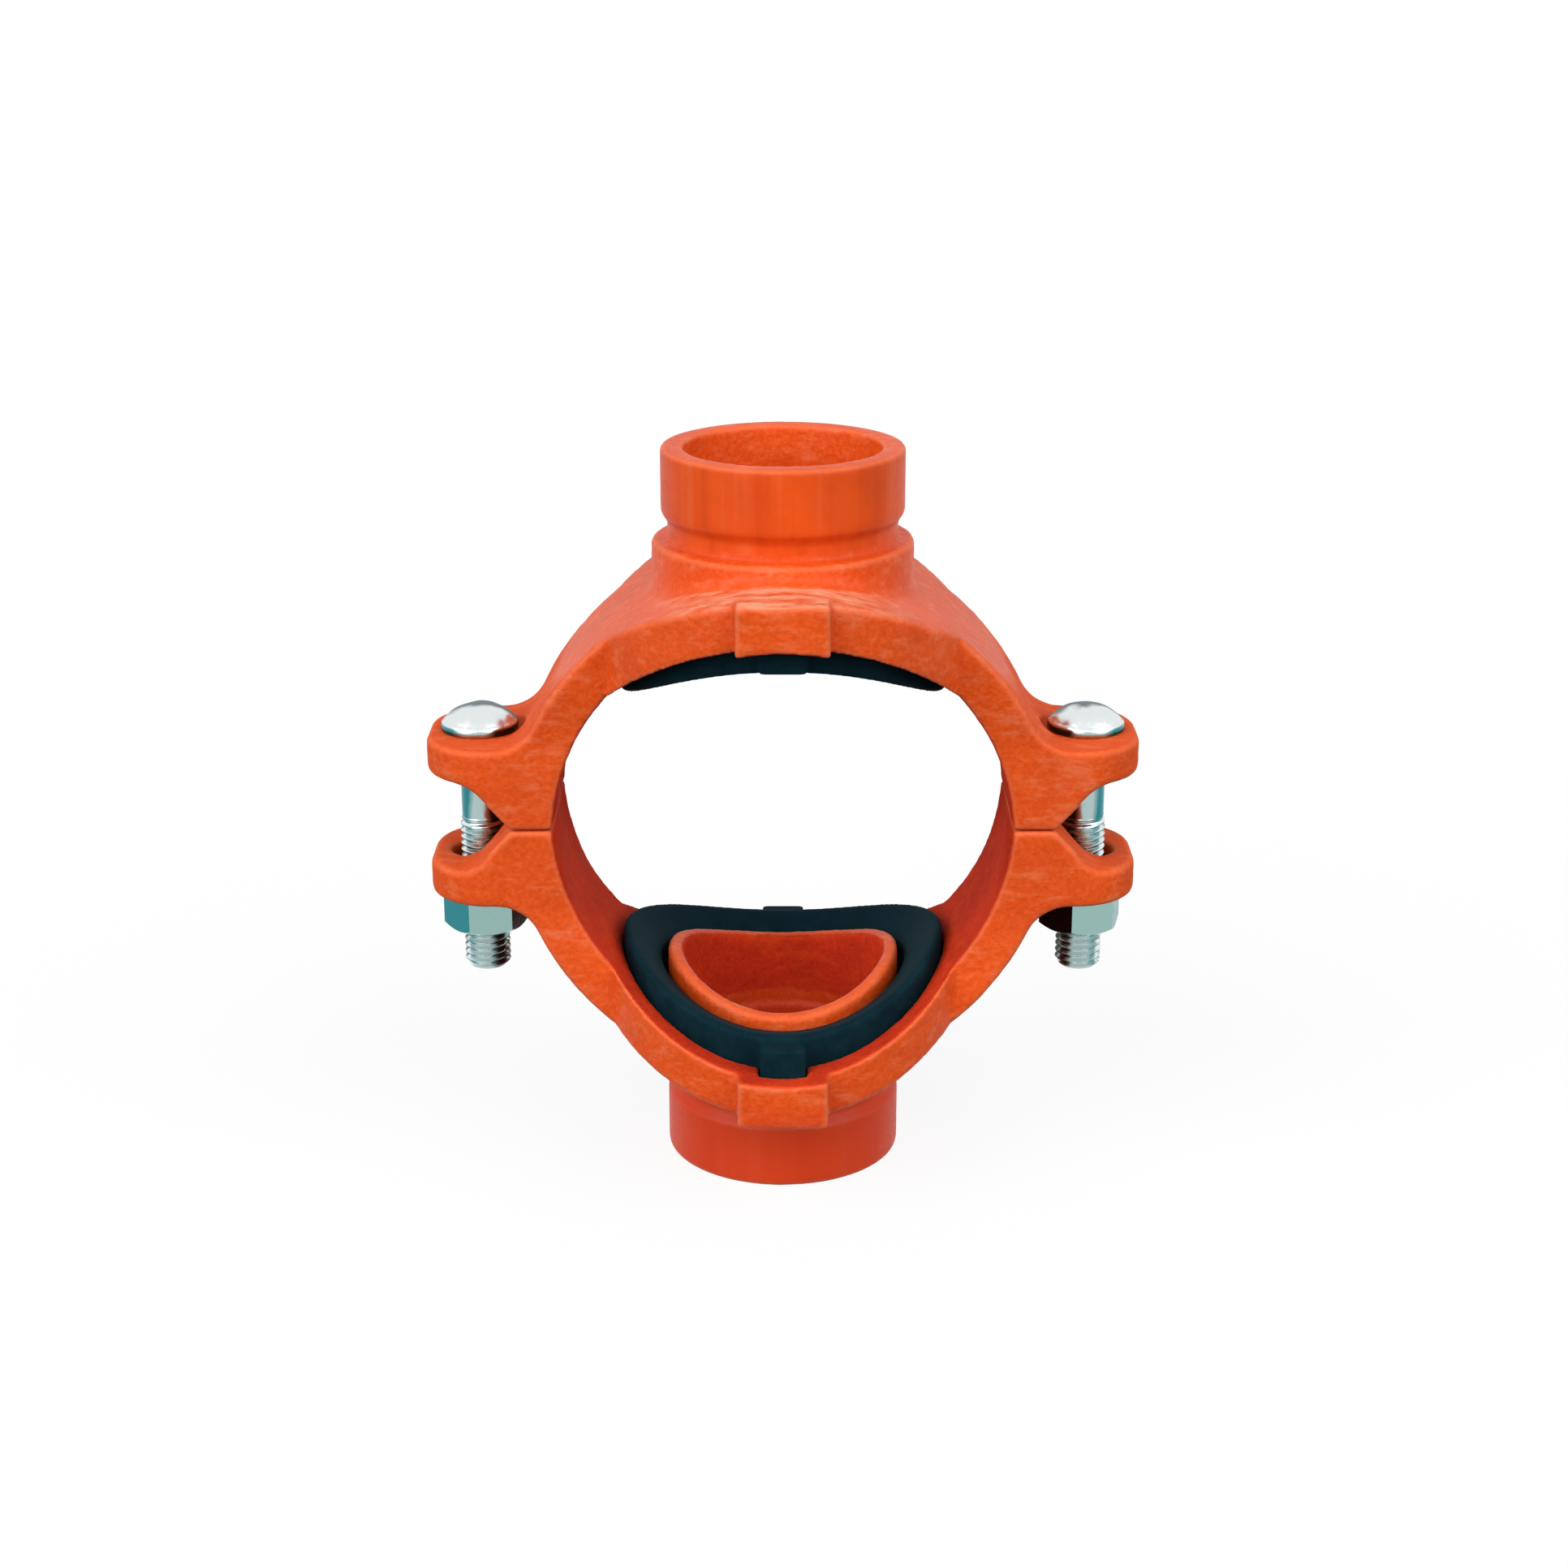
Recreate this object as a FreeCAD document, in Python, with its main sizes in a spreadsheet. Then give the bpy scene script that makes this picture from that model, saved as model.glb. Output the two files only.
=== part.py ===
import FreeCAD, Part
import math
import os
from types import SimpleNamespace

import Sketcher

# A mechanical cross for 4 inch pipe with two grooved 2 inch outlets. Two equal castings clamp
# round the run pipe, each with a gasket round its outlet, and two oval neck bolts hold them.
# The run pipe lies along Y, the outlets point up and down Z, and the bolts stand at each end
# of X. The castings are drawn as they meet with no pipe between them: their saddles are a
# little less than half a circle deep, so each saddle's axis lies past the split plane.

SIZES = [
    ("pipe_diameter", 114.3, "outside diameter of the run pipe"),
    ("saddle_clearance", 0.25, "gap between the pipe and the saddle of a casting"),
    ("pad_cutback", 2.7, "from the split plane to the saddle's axis"),
    ("pad_gap", 0.5, "gap between the split pads of the two castings"),
    ("saddle_wall", 11.1, "thickness of the arms over the pipe"),
    ("crown_wall", 5.0, "thickness of the crown over the gasket"),
    ("drum_wall", 7.1, "thickness of the round wall outside the gasket"),
    ("arm_width", 41.6, "width of the arms at the lugs"),
    ("arm_root_width", 48.4, "width of the arms where they meet the drum"),
    ("arm_root_height", 50.0, "height at which the arms reach that width"),
    ("arm_blend", 30.0, "radius between the upright and the leaning part of an arm's side"),
    ("lug_seat", 20.5, "height of the face that the bolt head or nut bears on"),
    ("lug_thickness", 9.0, "thickness of a bolt lug"),
    ("lug_margin", 12.9, "from a bolt's axis to the end of its lug"),
    ("lug_corner", 16.0, "radius of a lug's corners in plan"),
    ("pad_width", 10.6, "width of a split pad outside the pipe"),
    ("gusset_slope", 1.1, "rise over run of the gusset under a lug"),
    ("gusset_radius", 9.0, "hollow between gusset and lug"),
    ("arm_radius", 12.0, "hollow between arm and lug"),
    ("bolt_offset", 19.3, "from the saddle to a bolt's axis"),
    ("hole_length", 16.4, "length of the oval bolt hole"),
    ("hole_width", 13.0, "width of the oval bolt hole"),
    ("drum_round", 1.3, "rounding of the drum's edge under the roof"),
    ("key_width", 22.2, "width of the key pad on the drum"),
    ("key_depth", 4.5, "how far a key pad stands out of the drum"),
    ("key_rise", 0.3, "how far a key pad stands above the roof"),
    ("key_round", 0.8, "rounding of a key pad's edges"),
    ("outlet_diameter", 60.3, "outside diameter of an outlet"),
    ("outlet_bore", 49.0, "bore of an outlet"),
    ("collar_bore", 51.2, "bore of the collar, up to the outlet"),
    ("bore_slope", 1.6, "length of the slope between the two bores"),
    ("skirt_height", 4.5, "from the roof to the shoulder's top"),
    ("land_length", 15.9, "from the outlet's end to its groove"),
    ("groove_width", 7.0, "width of the groove"),
    ("groove_depth", 1.6, "depth of the groove"),
    ("groove_slope", 2.4, "length of the groove's sloped side"),
    ("shoulder_radius", 32.5, "radius of the shoulder under the groove"),
    ("shoulder_round", 1.2, "rounding of the shoulder's edge"),
    ("end_round", 0.7, "rounding of the outlet's end"),
    ("collar_diameter", 59.6, "outside diameter of the locating collar"),
    ("collar_depth", 8.4, "how far the collar stands into the pipe"),
    ("collar_round", 1.6, "rounding of the collar's rim"),
    ("gasket_diameter", 82.4, "outside diameter of the gasket"),
    ("gasket_clearance", 0.4, "gap round the gasket in its seat"),
    ("gasket_top_gap", 0.1, "gap between the gasket's back and the crown"),
    ("gasket_bore", 63.0, "inside diameter of the gasket"),
    ("gasket_proud", 7.9, "how far the gasket stands out of the saddle at its highest"),
    ("gasket_sweep", 62.0, "radius to which the gasket's lip is swept round the pipe"),
    ("gasket_round", 1.0, "rounding of the gasket's outer lip"),
    ("gasket_dish", 2.4, "how far the sealing face falls towards the gasket's bore"),
    ("lip_width", 2.4, "width of the lip outside the dished face"),
    ("tab_drop", 1.1, "how far a tab's end lies below the lip"),
    ("tab_width", 11.2, "width of a gasket tab"),
    ("tab_reach", 46.6, "from the outlet's axis to the end of a gasket tab"),
    ("edge_round", 1.6, "rounding of the lugs' lower edges"),
    ("ridge_round", 1.3, "rounding of the edges along the top of arms and lugs"),
    ("skirt_hollow", 3.0, "hollow between the outlet's skirt and the roof"),
    ("thread_diameter", 11.7, "outside diameter of the bolt's thread"),
    ("thread_length", 41.5, "length of the thread from the bolt's end"),
    ("shank_diameter", 10.7, "diameter of the plain shank"),
    ("bolt_length", 64.0, "length of a bolt under its head"),
    ("bolt_chamfer", 1.2, "chamfer at the bolt's end"),
    ("head_diameter", 19.6, "diameter of a bolt head"),
    ("head_height", 6.8, "height of a bolt head"),
    ("head_rim", 1.8, "height of the head's rim under its dome"),
    ("neck_clearance", 0.35, "gap round the oval neck in its hole"),
    ("neck_length", 8.0, "length of the oval neck under the head"),
    ("nut_width", 19.0, "width of a nut across its flats"),
    ("nut_height", 12.0, "height of a nut"),
    ("nut_clearance", 0.05, "gap between the nut's bore and the thread"),
    ("facing_clearance", 0.6, "gap round the nut's corners where the lug is faced"),
    ("nut_chamfer", 0.9, "height of the chamfer on the nut's corners"),
    ("nut_chamfer_run", 1.75, "width of that chamfer"),
    ("overcut", 1.0, "how far a cutting sketch reaches past what it cuts"),
]
LEFT_NUT_TURN = 11.8
RIGHT_NUT_TURN = 14.8

doc = FreeCAD.newDocument("mechanical_cross")
sheet = doc.addObject("Spreadsheet::Sheet", "Sizes")
for row, (alias, number, note) in enumerate(SIZES, 1):
    sheet.set(f"A{row}", note)
    sheet.set(f"B{row}", str(number))
    sheet.setAlias(f"B{row}", alias)
doc.recompute()


class Dim:
    """A length worked out from the sheet: its value now, and the formula that keeps it so."""

    def __init__(self, value, formula):
        self.value = value
        self.formula = formula

    def joined(self, sign, other, value):
        formula = other.formula if isinstance(other, Dim) else str(other)
        return Dim(value, f"({self.formula} {sign} {formula})")

    def __add__(self, other):
        return self.joined("+", other, self.value + amount(other))

    def __sub__(self, other):
        return self.joined("-", other, self.value - amount(other))

    def __mul__(self, other):
        return self.joined("*", other, self.value * amount(other))

    def __truediv__(self, other):
        return self.joined("/", other, self.value / amount(other))

    def __neg__(self):
        return self * -1


def amount(length):
    """The number behind a length."""
    return length.value if isinstance(length, Dim) else length


def long_side(first, second):
    """The long side of a right-angled triangle."""
    value = math.hypot(first.value, second.value)
    return Dim(value, f"sqrt(({first.formula})^2 + ({second.formula})^2)")


def side_of(hypotenuse, side):
    """The other short side of a right-angled triangle."""
    value = math.sqrt(hypotenuse.value**2 - side.value**2)
    return Dim(value, f"sqrt(({hypotenuse.formula})^2 - ({side.formula})^2)")


size = SimpleNamespace(
    **{alias: Dim(float(sheet.get(alias)), f"Sizes.{alias}") for alias, number, note in SIZES}
)
ORIGIN = Dim(0.0, "0")
COS_30 = Dim(math.cos(math.radians(30)), "cos(30deg)")

# The saddle's own radii, all about the run pipe's axis.
axis_height = -size.pad_cutback
bore_radius = size.pipe_diameter / 2 + size.saddle_clearance
roof_radius = bore_radius + size.saddle_wall
crown_radius = roof_radius - size.crown_wall
pad_height = size.pad_gap / 2

roof_top = axis_height + roof_radius
outlet_end = roof_top + size.skirt_height + size.groove_width + size.land_length

# Radii in plan, about the outlet's axis.
seat_radius = size.gasket_diameter / 2 + size.gasket_clearance
drum_radius = seat_radius + size.drum_wall
collar_radius = size.collar_diameter / 2
key_reach = drum_radius + size.key_depth
key_top = roof_top + size.key_rise
bolt_place = bore_radius + size.bolt_offset
lug_reach = bolt_place + size.lug_margin


def bind(thing, **properties):
    """Ties properties of a feature to the sheet."""
    for name, length in properties.items():
        thing.setExpression(name, length.formula)


def sketch_on(body, role, name):
    """A sketch on one of the body's own origin planes."""
    sketch = body.newObject("Sketcher::SketchObject", name)
    plane = next(part for part in body.Origin.OriginFeatures if part.Role == role)
    sketch.AttachmentSupport = [(plane, "")]
    sketch.MapMode = "FlatFace"
    return sketch


def raise_sketch(sketch, height):
    """Lifts a sketch off its plane."""
    sketch.AttachmentOffset = FreeCAD.Placement(
        FreeCAD.Vector(0, 0, height.value), FreeCAD.Rotation()
    )
    sketch.setExpression("AttachmentOffset.Base.z", height.formula)


def hold(sketch, kind, places, length):
    """Adds one dimension to a sketch and ties it to the sheet."""
    index = sketch.addConstraint(Sketcher.Constraint(kind, *places, amount(length)))
    sketch.setExpression(f"Constraints[{index}]", length.formula)


def add_circle(sketch, radius, across=ORIGIN, height=ORIGIN):
    """A full circle, with its centre this far from the sketch's origin."""
    centre = FreeCAD.Vector(across.value, height.value, 0)
    ring = sketch.addGeometry(Part.Circle(centre, FreeCAD.Vector(0, 0, 1), radius.value))
    hold(sketch, "DistanceX", (-1, 1, ring, 3), across)
    hold(sketch, "DistanceY", (-1, 1, ring, 3), height)
    hold(sketch, "Radius", (ring,), radius)


def add_outline(sketch, corners, arcs=None):
    """A closed outline through the corners, each held by its two distances from the origin.

    arcs says which sides are arcs: the index of the side, its radius, and the arc's centre.
    """
    arcs = arcs or {}
    sides = []
    for index, start in enumerate(corners):
        end = corners[(index + 1) % len(corners)]
        first = FreeCAD.Vector(start[0].value, start[1].value, 0)
        last = FreeCAD.Vector(end[0].value, end[1].value, 0)
        if index in arcs:
            radius, centre = arcs[index]
            middle = FreeCAD.Vector(centre[0].value, centre[1].value, 0)
            to_chord = (first + last) * 0.5 - middle
            top = middle + to_chord.normalize() * radius.value
            curve = Part.Arc(first, top, last)
            side = sketch.addGeometry(curve)
            turned = (last - first).cross(top - first).z > 0
            sides.append((side, 2, 1) if turned else (side, 1, 2))
            hold(sketch, "Radius", (side,), radius)
        else:
            side = sketch.addGeometry(Part.LineSegment(first, last))
            sides.append((side, 1, 2))
    for index, (side, start_point, end_point) in enumerate(sides):
        after, after_start, after_end = sides[(index + 1) % len(sides)]
        link = Sketcher.Constraint("Coincident", side, end_point, after, after_start)
        sketch.addConstraint(link)
        across, up = corners[index]
        hold(sketch, "DistanceX", (-1, 1, side, start_point), across)
        hold(sketch, "DistanceY", (-1, 1, side, start_point), up)


def box_corners(left, right, low, high):
    return [(left, low), (right, low), (right, high), (left, high)]


def pad(body, sketch, name, length, both_ways=False):
    feature = body.newObject("PartDesign::Pad", name)
    feature.Profile = sketch
    bind(feature, Length=length)
    if both_ways:
        feature.SideType = "Symmetric"
    doc.recompute()
    return feature


def pocket(body, sketch, name, both_ways=False):
    """Cuts the sketch through everything: both ways, or the way that its plane looks."""
    before = body.Tip.Shape.Volume
    feature = body.newObject("PartDesign::Pocket", name)
    feature.Profile = sketch
    feature.Type = "ThroughAll"
    feature.Reversed = not both_ways
    if both_ways:
        feature.SideType = "Symmetric"
    doc.recompute()
    if not feature.Shape.Volume < before - 1e-3:
        raise RuntimeError(f"{name} in {body.Label} cuts nothing")
    return feature


def revolve(body, sketch, name, kind="Revolution"):
    """Turns the sketch about its upright axis, to add material or, as a Groove, to cut it."""
    feature = body.newObject(f"PartDesign::{kind}", name)
    feature.Profile = sketch
    feature.ReferenceAxis = (sketch, ["V_Axis"])
    feature.Angle = 360
    doc.recompute()
    return feature


def round_edges(body, name, radius, wanted):
    """Rounds the edges of the body so far that the wanted function picks."""
    base = body.Tip
    names = [f"Edge{i}" for i, edge in enumerate(base.Shape.Edges, 1) if wanted(edge)]
    if not names:
        raise RuntimeError(f"{name} in {body.Label} finds no edge")
    feature = body.newObject("PartDesign::Fillet", name)
    feature.Base = (base, names)
    bind(feature, Radius=radius)
    doc.recompute()
    if feature.Shape.isNull() or not feature.Shape.isValid():
        raise RuntimeError(f"{name} in {body.Label} fails")
    return feature


def near(value, target, within=0.02):
    return abs(value - target) < within


def halfway(edge):
    """The point half-way along an edge."""
    return edge.valueAt((edge.FirstParameter + edge.LastParameter) / 2)


def new_body(name, placement=None):
    body = doc.addObject("PartDesign::Body", name)
    body.Label = name
    if placement:
        body.Placement = placement
    return body


def make_seat_core(name):
    """The core that leaves the gasket's seat: a ring with two tabs, under the crown."""
    core = new_body(name)
    sketch = sketch_on(core, "XY_Plane", "seat_plan")
    add_circle(sketch, seat_radius)
    pad(core, sketch, "seat_block", roof_radius)

    sketch = sketch_on(core, "XY_Plane", "tab_plan")
    across = size.tab_width / 2 + size.gasket_clearance
    along = size.tab_reach + size.gasket_clearance
    add_outline(sketch, box_corners(-across, across, -along, along))
    pad(core, sketch, "tab_block", roof_radius)

    trim_above(core, crown_radius, along + size.overcut)

    sketch = sketch_on(core, "XY_Plane", "collar_plan")
    add_circle(sketch, collar_radius)
    pocket(core, sketch, "collar_hole")
    return core


def trim_above(body, radius, reach):
    """Cuts away what lies above the run-wise cylinder of this radius, out to the reach."""
    sketch = sketch_on(body, "XZ_Plane", "roof_profile")
    edge = axis_height + side_of(radius, reach)
    top = axis_height + radius + size.saddle_wall
    corners = [(-reach, edge), (reach, edge), (reach, top), (-reach, top)]
    add_outline(sketch, corners, {0: (radius, (ORIGIN, axis_height))})
    return pocket(body, sketch, "roof_trim", both_ways=True)


def add_arms(body):
    """The arch over the pipe with a lug at each end, as one profile seen along the pipe."""
    seat_rise = size.lug_seat - axis_height
    arm_foot = side_of(roof_radius, seat_rise)
    half = size.arm_width / 2
    lean_rise = size.arm_root_height - size.lug_seat
    lean_run = (size.arm_root_width - size.arm_width) / 2
    lean_side = long_side(lean_run, lean_rise)
    tangent = size.arm_blend * (lean_side - lean_rise) / lean_run
    top = roof_top + size.overcut
    top_half = half + (top - size.lug_seat - tangent) * lean_run / lean_rise
    under = size.lug_seat - size.lug_thickness
    pad_end = bore_radius + size.pad_width
    gusset_end = pad_end + (under - pad_height) / size.gusset_slope
    right = [
        (arm_foot, size.lug_seat),
        (lug_reach, size.lug_seat),
        (lug_reach, under),
        (gusset_end, under),
        (pad_end, pad_height),
    ]
    left = [(-across, up) for across, up in reversed(right)]
    sketch = sketch_on(body, "XZ_Plane", "arm_profile")
    last_side = len(right) + len(left) - 1
    add_outline(sketch, right + left, {last_side: (roof_radius, (ORIGIN, axis_height))})
    pad(body, sketch, "arms", (top_half + size.overcut) * 2, both_ways=True)

    def at_corner(across, up):
        def wanted(edge):
            middle = edge.CenterOfMass
            return near(abs(middle.x), across.value) and near(middle.z, up.value)

        return wanted

    round_edges(body, "arm_hollow", size.arm_radius, at_corner(arm_foot, size.lug_seat))
    round_edges(body, "gusset_hollow", size.gusset_radius, at_corner(gusset_end, under))

    # In plan the lugs end in large corners.
    outside = half + size.arm_width
    past = lug_reach + size.overcut
    corner = lug_reach - size.lug_corner
    sketch = sketch_on(body, "XY_Plane", "lug_plan")
    for x_way in (1, -1):
        for y_way in (1, -1):
            corners = [
                (corner * x_way, half * y_way),
                (lug_reach * x_way, (half - size.lug_corner) * y_way),
                (past * x_way, (half - size.lug_corner) * y_way),
                (past * x_way, outside * y_way),
                (corner * x_way, outside * y_way),
            ]
            centre = (corner * x_way, (half - size.lug_corner) * y_way)
            add_outline(sketch, corners, {0: (size.lug_corner, centre)})
    pocket(body, sketch, "lug_corners")

    def under_lug(edge):
        middle = halfway(edge)
        outline = abs(middle.y) > 1 or near(abs(middle.x), lug_reach.value)
        return outline and pad_height.value + 0.02 < middle.z < under.value + 0.02

    round_edges(body, "lug_round", size.edge_round, under_lug)

    # Seen across the pipe the arms are upright at the lugs and lean out towards the drum.
    blend_half = half + tangent * lean_run / lean_side
    blend_top = size.lug_seat + tangent + tangent * lean_rise / lean_side
    sketch = sketch_on(body, "YZ_Plane", "arm_taper_profile")
    for way in (1, -1):
        corners = [
            (half * way, ORIGIN),
            (half * way, size.lug_seat),
            (blend_half * way, blend_top),
            (top_half * way, top),
            (outside * way, top),
            (outside * way, ORIGIN),
        ]
        centre = ((half + size.arm_blend) * way, size.lug_seat)
        add_outline(sketch, corners, {1: (size.arm_blend, centre)})
    pocket(body, sketch, "arm_taper", both_ways=True)

    def on_ridge(edge):
        middle = halfway(edge)
        across_roof = math.hypot(middle.x, middle.z - axis_height.value)
        outline = abs(middle.y) > 1 or near(abs(middle.x), lug_reach.value)
        on_skin = across_roof > roof_radius.value - 0.05
        return outline and on_skin and middle.z > size.lug_seat.value - 0.01

    round_edges(body, "ridge_round", size.ridge_round, on_ridge)


def make_drum(name):
    """The round wall about the gasket, under the same roof as the arms."""
    drum = new_body(name)
    sketch = sketch_on(drum, "XY_Plane", "drum_plan")
    add_circle(sketch, drum_radius)
    pad(drum, sketch, "drum_block", roof_radius)
    trim_above(drum, roof_radius, drum_radius + size.overcut)

    def on_roof_edge(edge):
        middle = halfway(edge)
        across_roof = math.hypot(middle.x, middle.z - axis_height.value)
        in_plan = math.hypot(middle.x, middle.y)
        return near(across_roof, roof_radius.value) and near(in_plan, drum_radius.value)

    round_edges(drum, "drum_round", size.drum_round, on_roof_edge)
    return drum


def combine(body, name, kind, tool):
    """Joins another body to this one, or cuts it out."""
    feature = body.newObject("PartDesign::Boolean", name)
    feature.Type = kind
    feature.addObjects([tool])
    doc.recompute()


def make_keys(name):
    """The flat key pads at the front and back of the drum, as one bar with soft edges."""
    keys = new_body(name)
    sketch = sketch_on(keys, "XY_Plane", "key_plan")
    half = size.key_width / 2
    add_outline(sketch, box_corners(-half, half, -key_reach, key_reach))
    pad(keys, sketch, "key_bar", key_top)

    def above_split(edge):
        return halfway(edge).z > pad_height.value

    round_edges(keys, "key_round", size.key_round, above_split)
    return keys


def add_outlet(body):
    """The grooved outlet on its shoulder, turned about the outlet's axis."""
    outside = size.outlet_diameter / 2
    floor = outside - size.groove_depth
    groove_top = outlet_end - size.land_length
    groove_foot = groove_top - size.groove_width
    start = key_top / 2
    shoulder_side = groove_foot - size.shoulder_round
    corners = [
        (ORIGIN, start),
        (size.shoulder_radius, start),
        (size.shoulder_radius, shoulder_side),
        (size.shoulder_radius - size.shoulder_round, groove_foot),
        (floor, groove_foot),
        (floor, groove_top - size.groove_slope),
        (outside, groove_top),
        (outside, outlet_end),
        (ORIGIN, outlet_end),
    ]
    centre = (size.shoulder_radius - size.shoulder_round, shoulder_side)
    sketch = sketch_on(body, "XZ_Plane", "outlet_profile")
    add_outline(sketch, corners, {2: (size.shoulder_round, centre)})
    revolve(body, sketch, "outlet")

    def meets_roof(edge):
        middle = halfway(edge)
        across_roof = math.hypot(middle.x, middle.z - axis_height.value)
        on_skirt = near(math.hypot(middle.x, middle.y), size.shoulder_radius.value)
        return on_skirt and near(across_roof, roof_radius.value)

    round_edges(body, "skirt_hollow", size.skirt_hollow, meets_roof)


def hollow_saddle(body, core):
    """The pipe's saddle, the locating collar, the gasket's seat, the waterway and the holes."""
    collar_end = bore_radius - size.collar_depth
    sketch = sketch_on(body, "XZ_Plane", "saddle_profile")
    add_circle(sketch, bore_radius, height=axis_height)
    pocket(body, sketch, "saddle", both_ways=True)

    sketch = sketch_on(body, "XY_Plane", "collar_plan")
    add_circle(sketch, collar_radius)
    pad(body, sketch, "collar", axis_height + crown_radius)
    sketch = sketch_on(body, "XZ_Plane", "collar_end_profile")
    add_circle(sketch, collar_end, height=axis_height)
    pocket(body, sketch, "collar_end", both_ways=True)

    combine(body, "gasket_seat", "Cut", core)

    wide = size.collar_bore / 2
    narrow = size.outlet_bore / 2
    slope_foot = roof_top - size.bore_slope / 2
    past = outlet_end + size.overcut
    corners = [
        (ORIGIN, ORIGIN),
        (wide, ORIGIN),
        (wide, slope_foot),
        (narrow, slope_foot + size.bore_slope),
        (narrow, past),
        (ORIGIN, past),
    ]
    sketch = sketch_on(body, "XZ_Plane", "waterway_profile")
    add_outline(sketch, corners)
    revolve(body, sketch, "waterway", "Groove")

    def on_collar_rim(edge):
        middle = halfway(edge)
        across_pipe = math.hypot(middle.x, middle.z - axis_height.value)
        return near(across_pipe, collar_end.value) and middle.z > 0

    def on_outlet_end(edge):
        return near(halfway(edge).z, outlet_end.value)

    round_edges(body, "collar_round", size.collar_round, on_collar_rim)
    round_edges(body, "outlet_end_round", size.end_round, on_outlet_end)

    radius = size.hole_width / 2
    straight = (size.hole_length - size.hole_width) / 2
    sketch = sketch_on(body, "XY_Plane", "bolt_hole_plan")
    for way in (1, -1):
        near_end = bolt_place * way - straight
        far_end = bolt_place * way + straight
        corners = [(near_end, -radius), (far_end, -radius), (far_end, radius), (near_end, radius)]
        add_slot(sketch, corners, radius)
    pocket(body, sketch, "bolt_holes")

    # The casting is faced round each hole, so that a nut can turn beside the arm's hollow.
    corner = size.nut_width / 2 / COS_30
    sketch = sketch_on(body, "XY_Plane", "facing_plan")
    raise_sketch(sketch, size.lug_seat)
    for way in (1, -1):
        add_circle(sketch, corner + size.facing_clearance, across=bolt_place * way)
    pocket(body, sketch, "seat_facing")


def add_slot(sketch, corners, radius):
    """An oval: two straight sides with a half circle at each end."""
    low_left, low_right, high_right, high_left = corners

    def point(corner):
        return FreeCAD.Vector(corner[0].value, corner[1].value, 0)

    right_tip = point(high_right) + FreeCAD.Vector(radius.value, -radius.value, 0)
    left_tip = point(high_left) + FreeCAD.Vector(-radius.value, -radius.value, 0)
    low = sketch.addGeometry(Part.LineSegment(point(low_left), point(low_right)))
    right = sketch.addGeometry(Part.Arc(point(low_right), right_tip, point(high_right)))
    high = sketch.addGeometry(Part.LineSegment(point(high_right), point(high_left)))
    left = sketch.addGeometry(Part.Arc(point(high_left), left_tip, point(low_left)))
    for first, first_end, second, second_start in (
        (low, 2, right, 1),
        (right, 2, high, 1),
        (high, 2, left, 1),
        (left, 2, low, 1),
    ):
        sketch.addConstraint(
            Sketcher.Constraint("Tangent", first, first_end, second, second_start)
        )
    hold(sketch, "Radius", (right,), radius)
    hold(sketch, "DistanceX", (-1, 1, low, 1), low_left[0])
    hold(sketch, "DistanceY", (-1, 1, low, 1), low_left[1])
    hold(sketch, "DistanceX", (-1, 1, low, 2), low_right[0])
    hold(sketch, "DistanceY", (-1, 1, low, 2), low_right[1])


def make_housing(name, turned_over):
    placement = FreeCAD.Placement()
    if turned_over:
        placement.Rotation = FreeCAD.Rotation(FreeCAD.Vector(1, 0, 0), 180)
    core = make_seat_core(f"{name}_seat_core")
    drum = make_drum(f"{name}_drum")
    keys = make_keys(f"{name}_keys")
    body = new_body(name, placement)
    add_arms(body)
    combine(body, "drum", "Fuse", drum)
    add_outlet(body)
    combine(body, "key_pads", "Fuse", keys)
    hollow_saddle(body, core)
    return body


def make_gasket(name, turned_over):
    """A rubber ring shaped to the pipe, with a tab front and back that keeps it from turning."""
    placement = FreeCAD.Placement()
    if turned_over:
        placement.Rotation = FreeCAD.Rotation(FreeCAD.Vector(1, 0, 0), 180)
    body = new_body(name, placement)
    outside = size.gasket_diameter / 2
    bore = size.gasket_bore / 2
    sketch = sketch_on(body, "XY_Plane", "ring_plan")
    add_circle(sketch, outside)
    add_circle(sketch, bore)
    pad(body, sketch, "ring", roof_radius)

    # The sealing face is swept round the pipe and stands out of the saddle.
    crest = axis_height + bore_radius - size.gasket_proud
    sweep_height = crest - size.gasket_sweep
    sketch = sketch_on(body, "XZ_Plane", "sealing_profile")
    add_circle(sketch, size.gasket_sweep, height=sweep_height)
    pocket(body, sketch, "sealing_face", both_ways=True)

    def on_sealing_face(radius):
        def wanted(edge):
            middle = halfway(edge)
            across_pipe = math.hypot(middle.x, middle.z - sweep_height.value)
            in_plan = math.hypot(middle.x, middle.y)
            return near(across_pipe, size.gasket_sweep.value) and near(in_plan, radius.value)

        return wanted

    # The pipe's own pressure works on the dished part inside the lip.
    dish_width = outside - bore - size.lip_width
    dish_edge(body, on_sealing_face(bore), dish_width)
    round_edges(body, "lip_round", size.gasket_round, on_sealing_face(outside))

    sketch = sketch_on(body, "XY_Plane", "tab_plan")
    raise_sketch(sketch, crest + size.tab_drop)
    half = size.tab_width / 2
    root = outside - size.lip_width
    for way in (1, -1):
        add_outline(sketch, box_corners(-half, half, root * way, size.tab_reach * way))
    pad(body, sketch, "tabs", roof_radius - crest)

    back_radius = crown_radius - size.gasket_top_gap
    trim_above(body, back_radius, size.tab_reach + size.overcut)
    return body


def dish_edge(body, wanted, width):
    """Slopes the sealing face down to the gasket's bore."""
    base = body.Tip
    names = [f"Edge{i}" for i, edge in enumerate(base.Shape.Edges, 1) if wanted(edge)]
    feature = body.newObject("PartDesign::Chamfer", "dish")
    feature.Base = (base, names)
    feature.ChamferType = "Two distances"
    bind(feature, Size=width, Size2=size.gasket_dish)
    doc.recompute()
    if not names or feature.Shape.isNull() or not feature.Shape.isValid():
        raise RuntimeError(f"the dish in {body.Label} fails")


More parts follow.
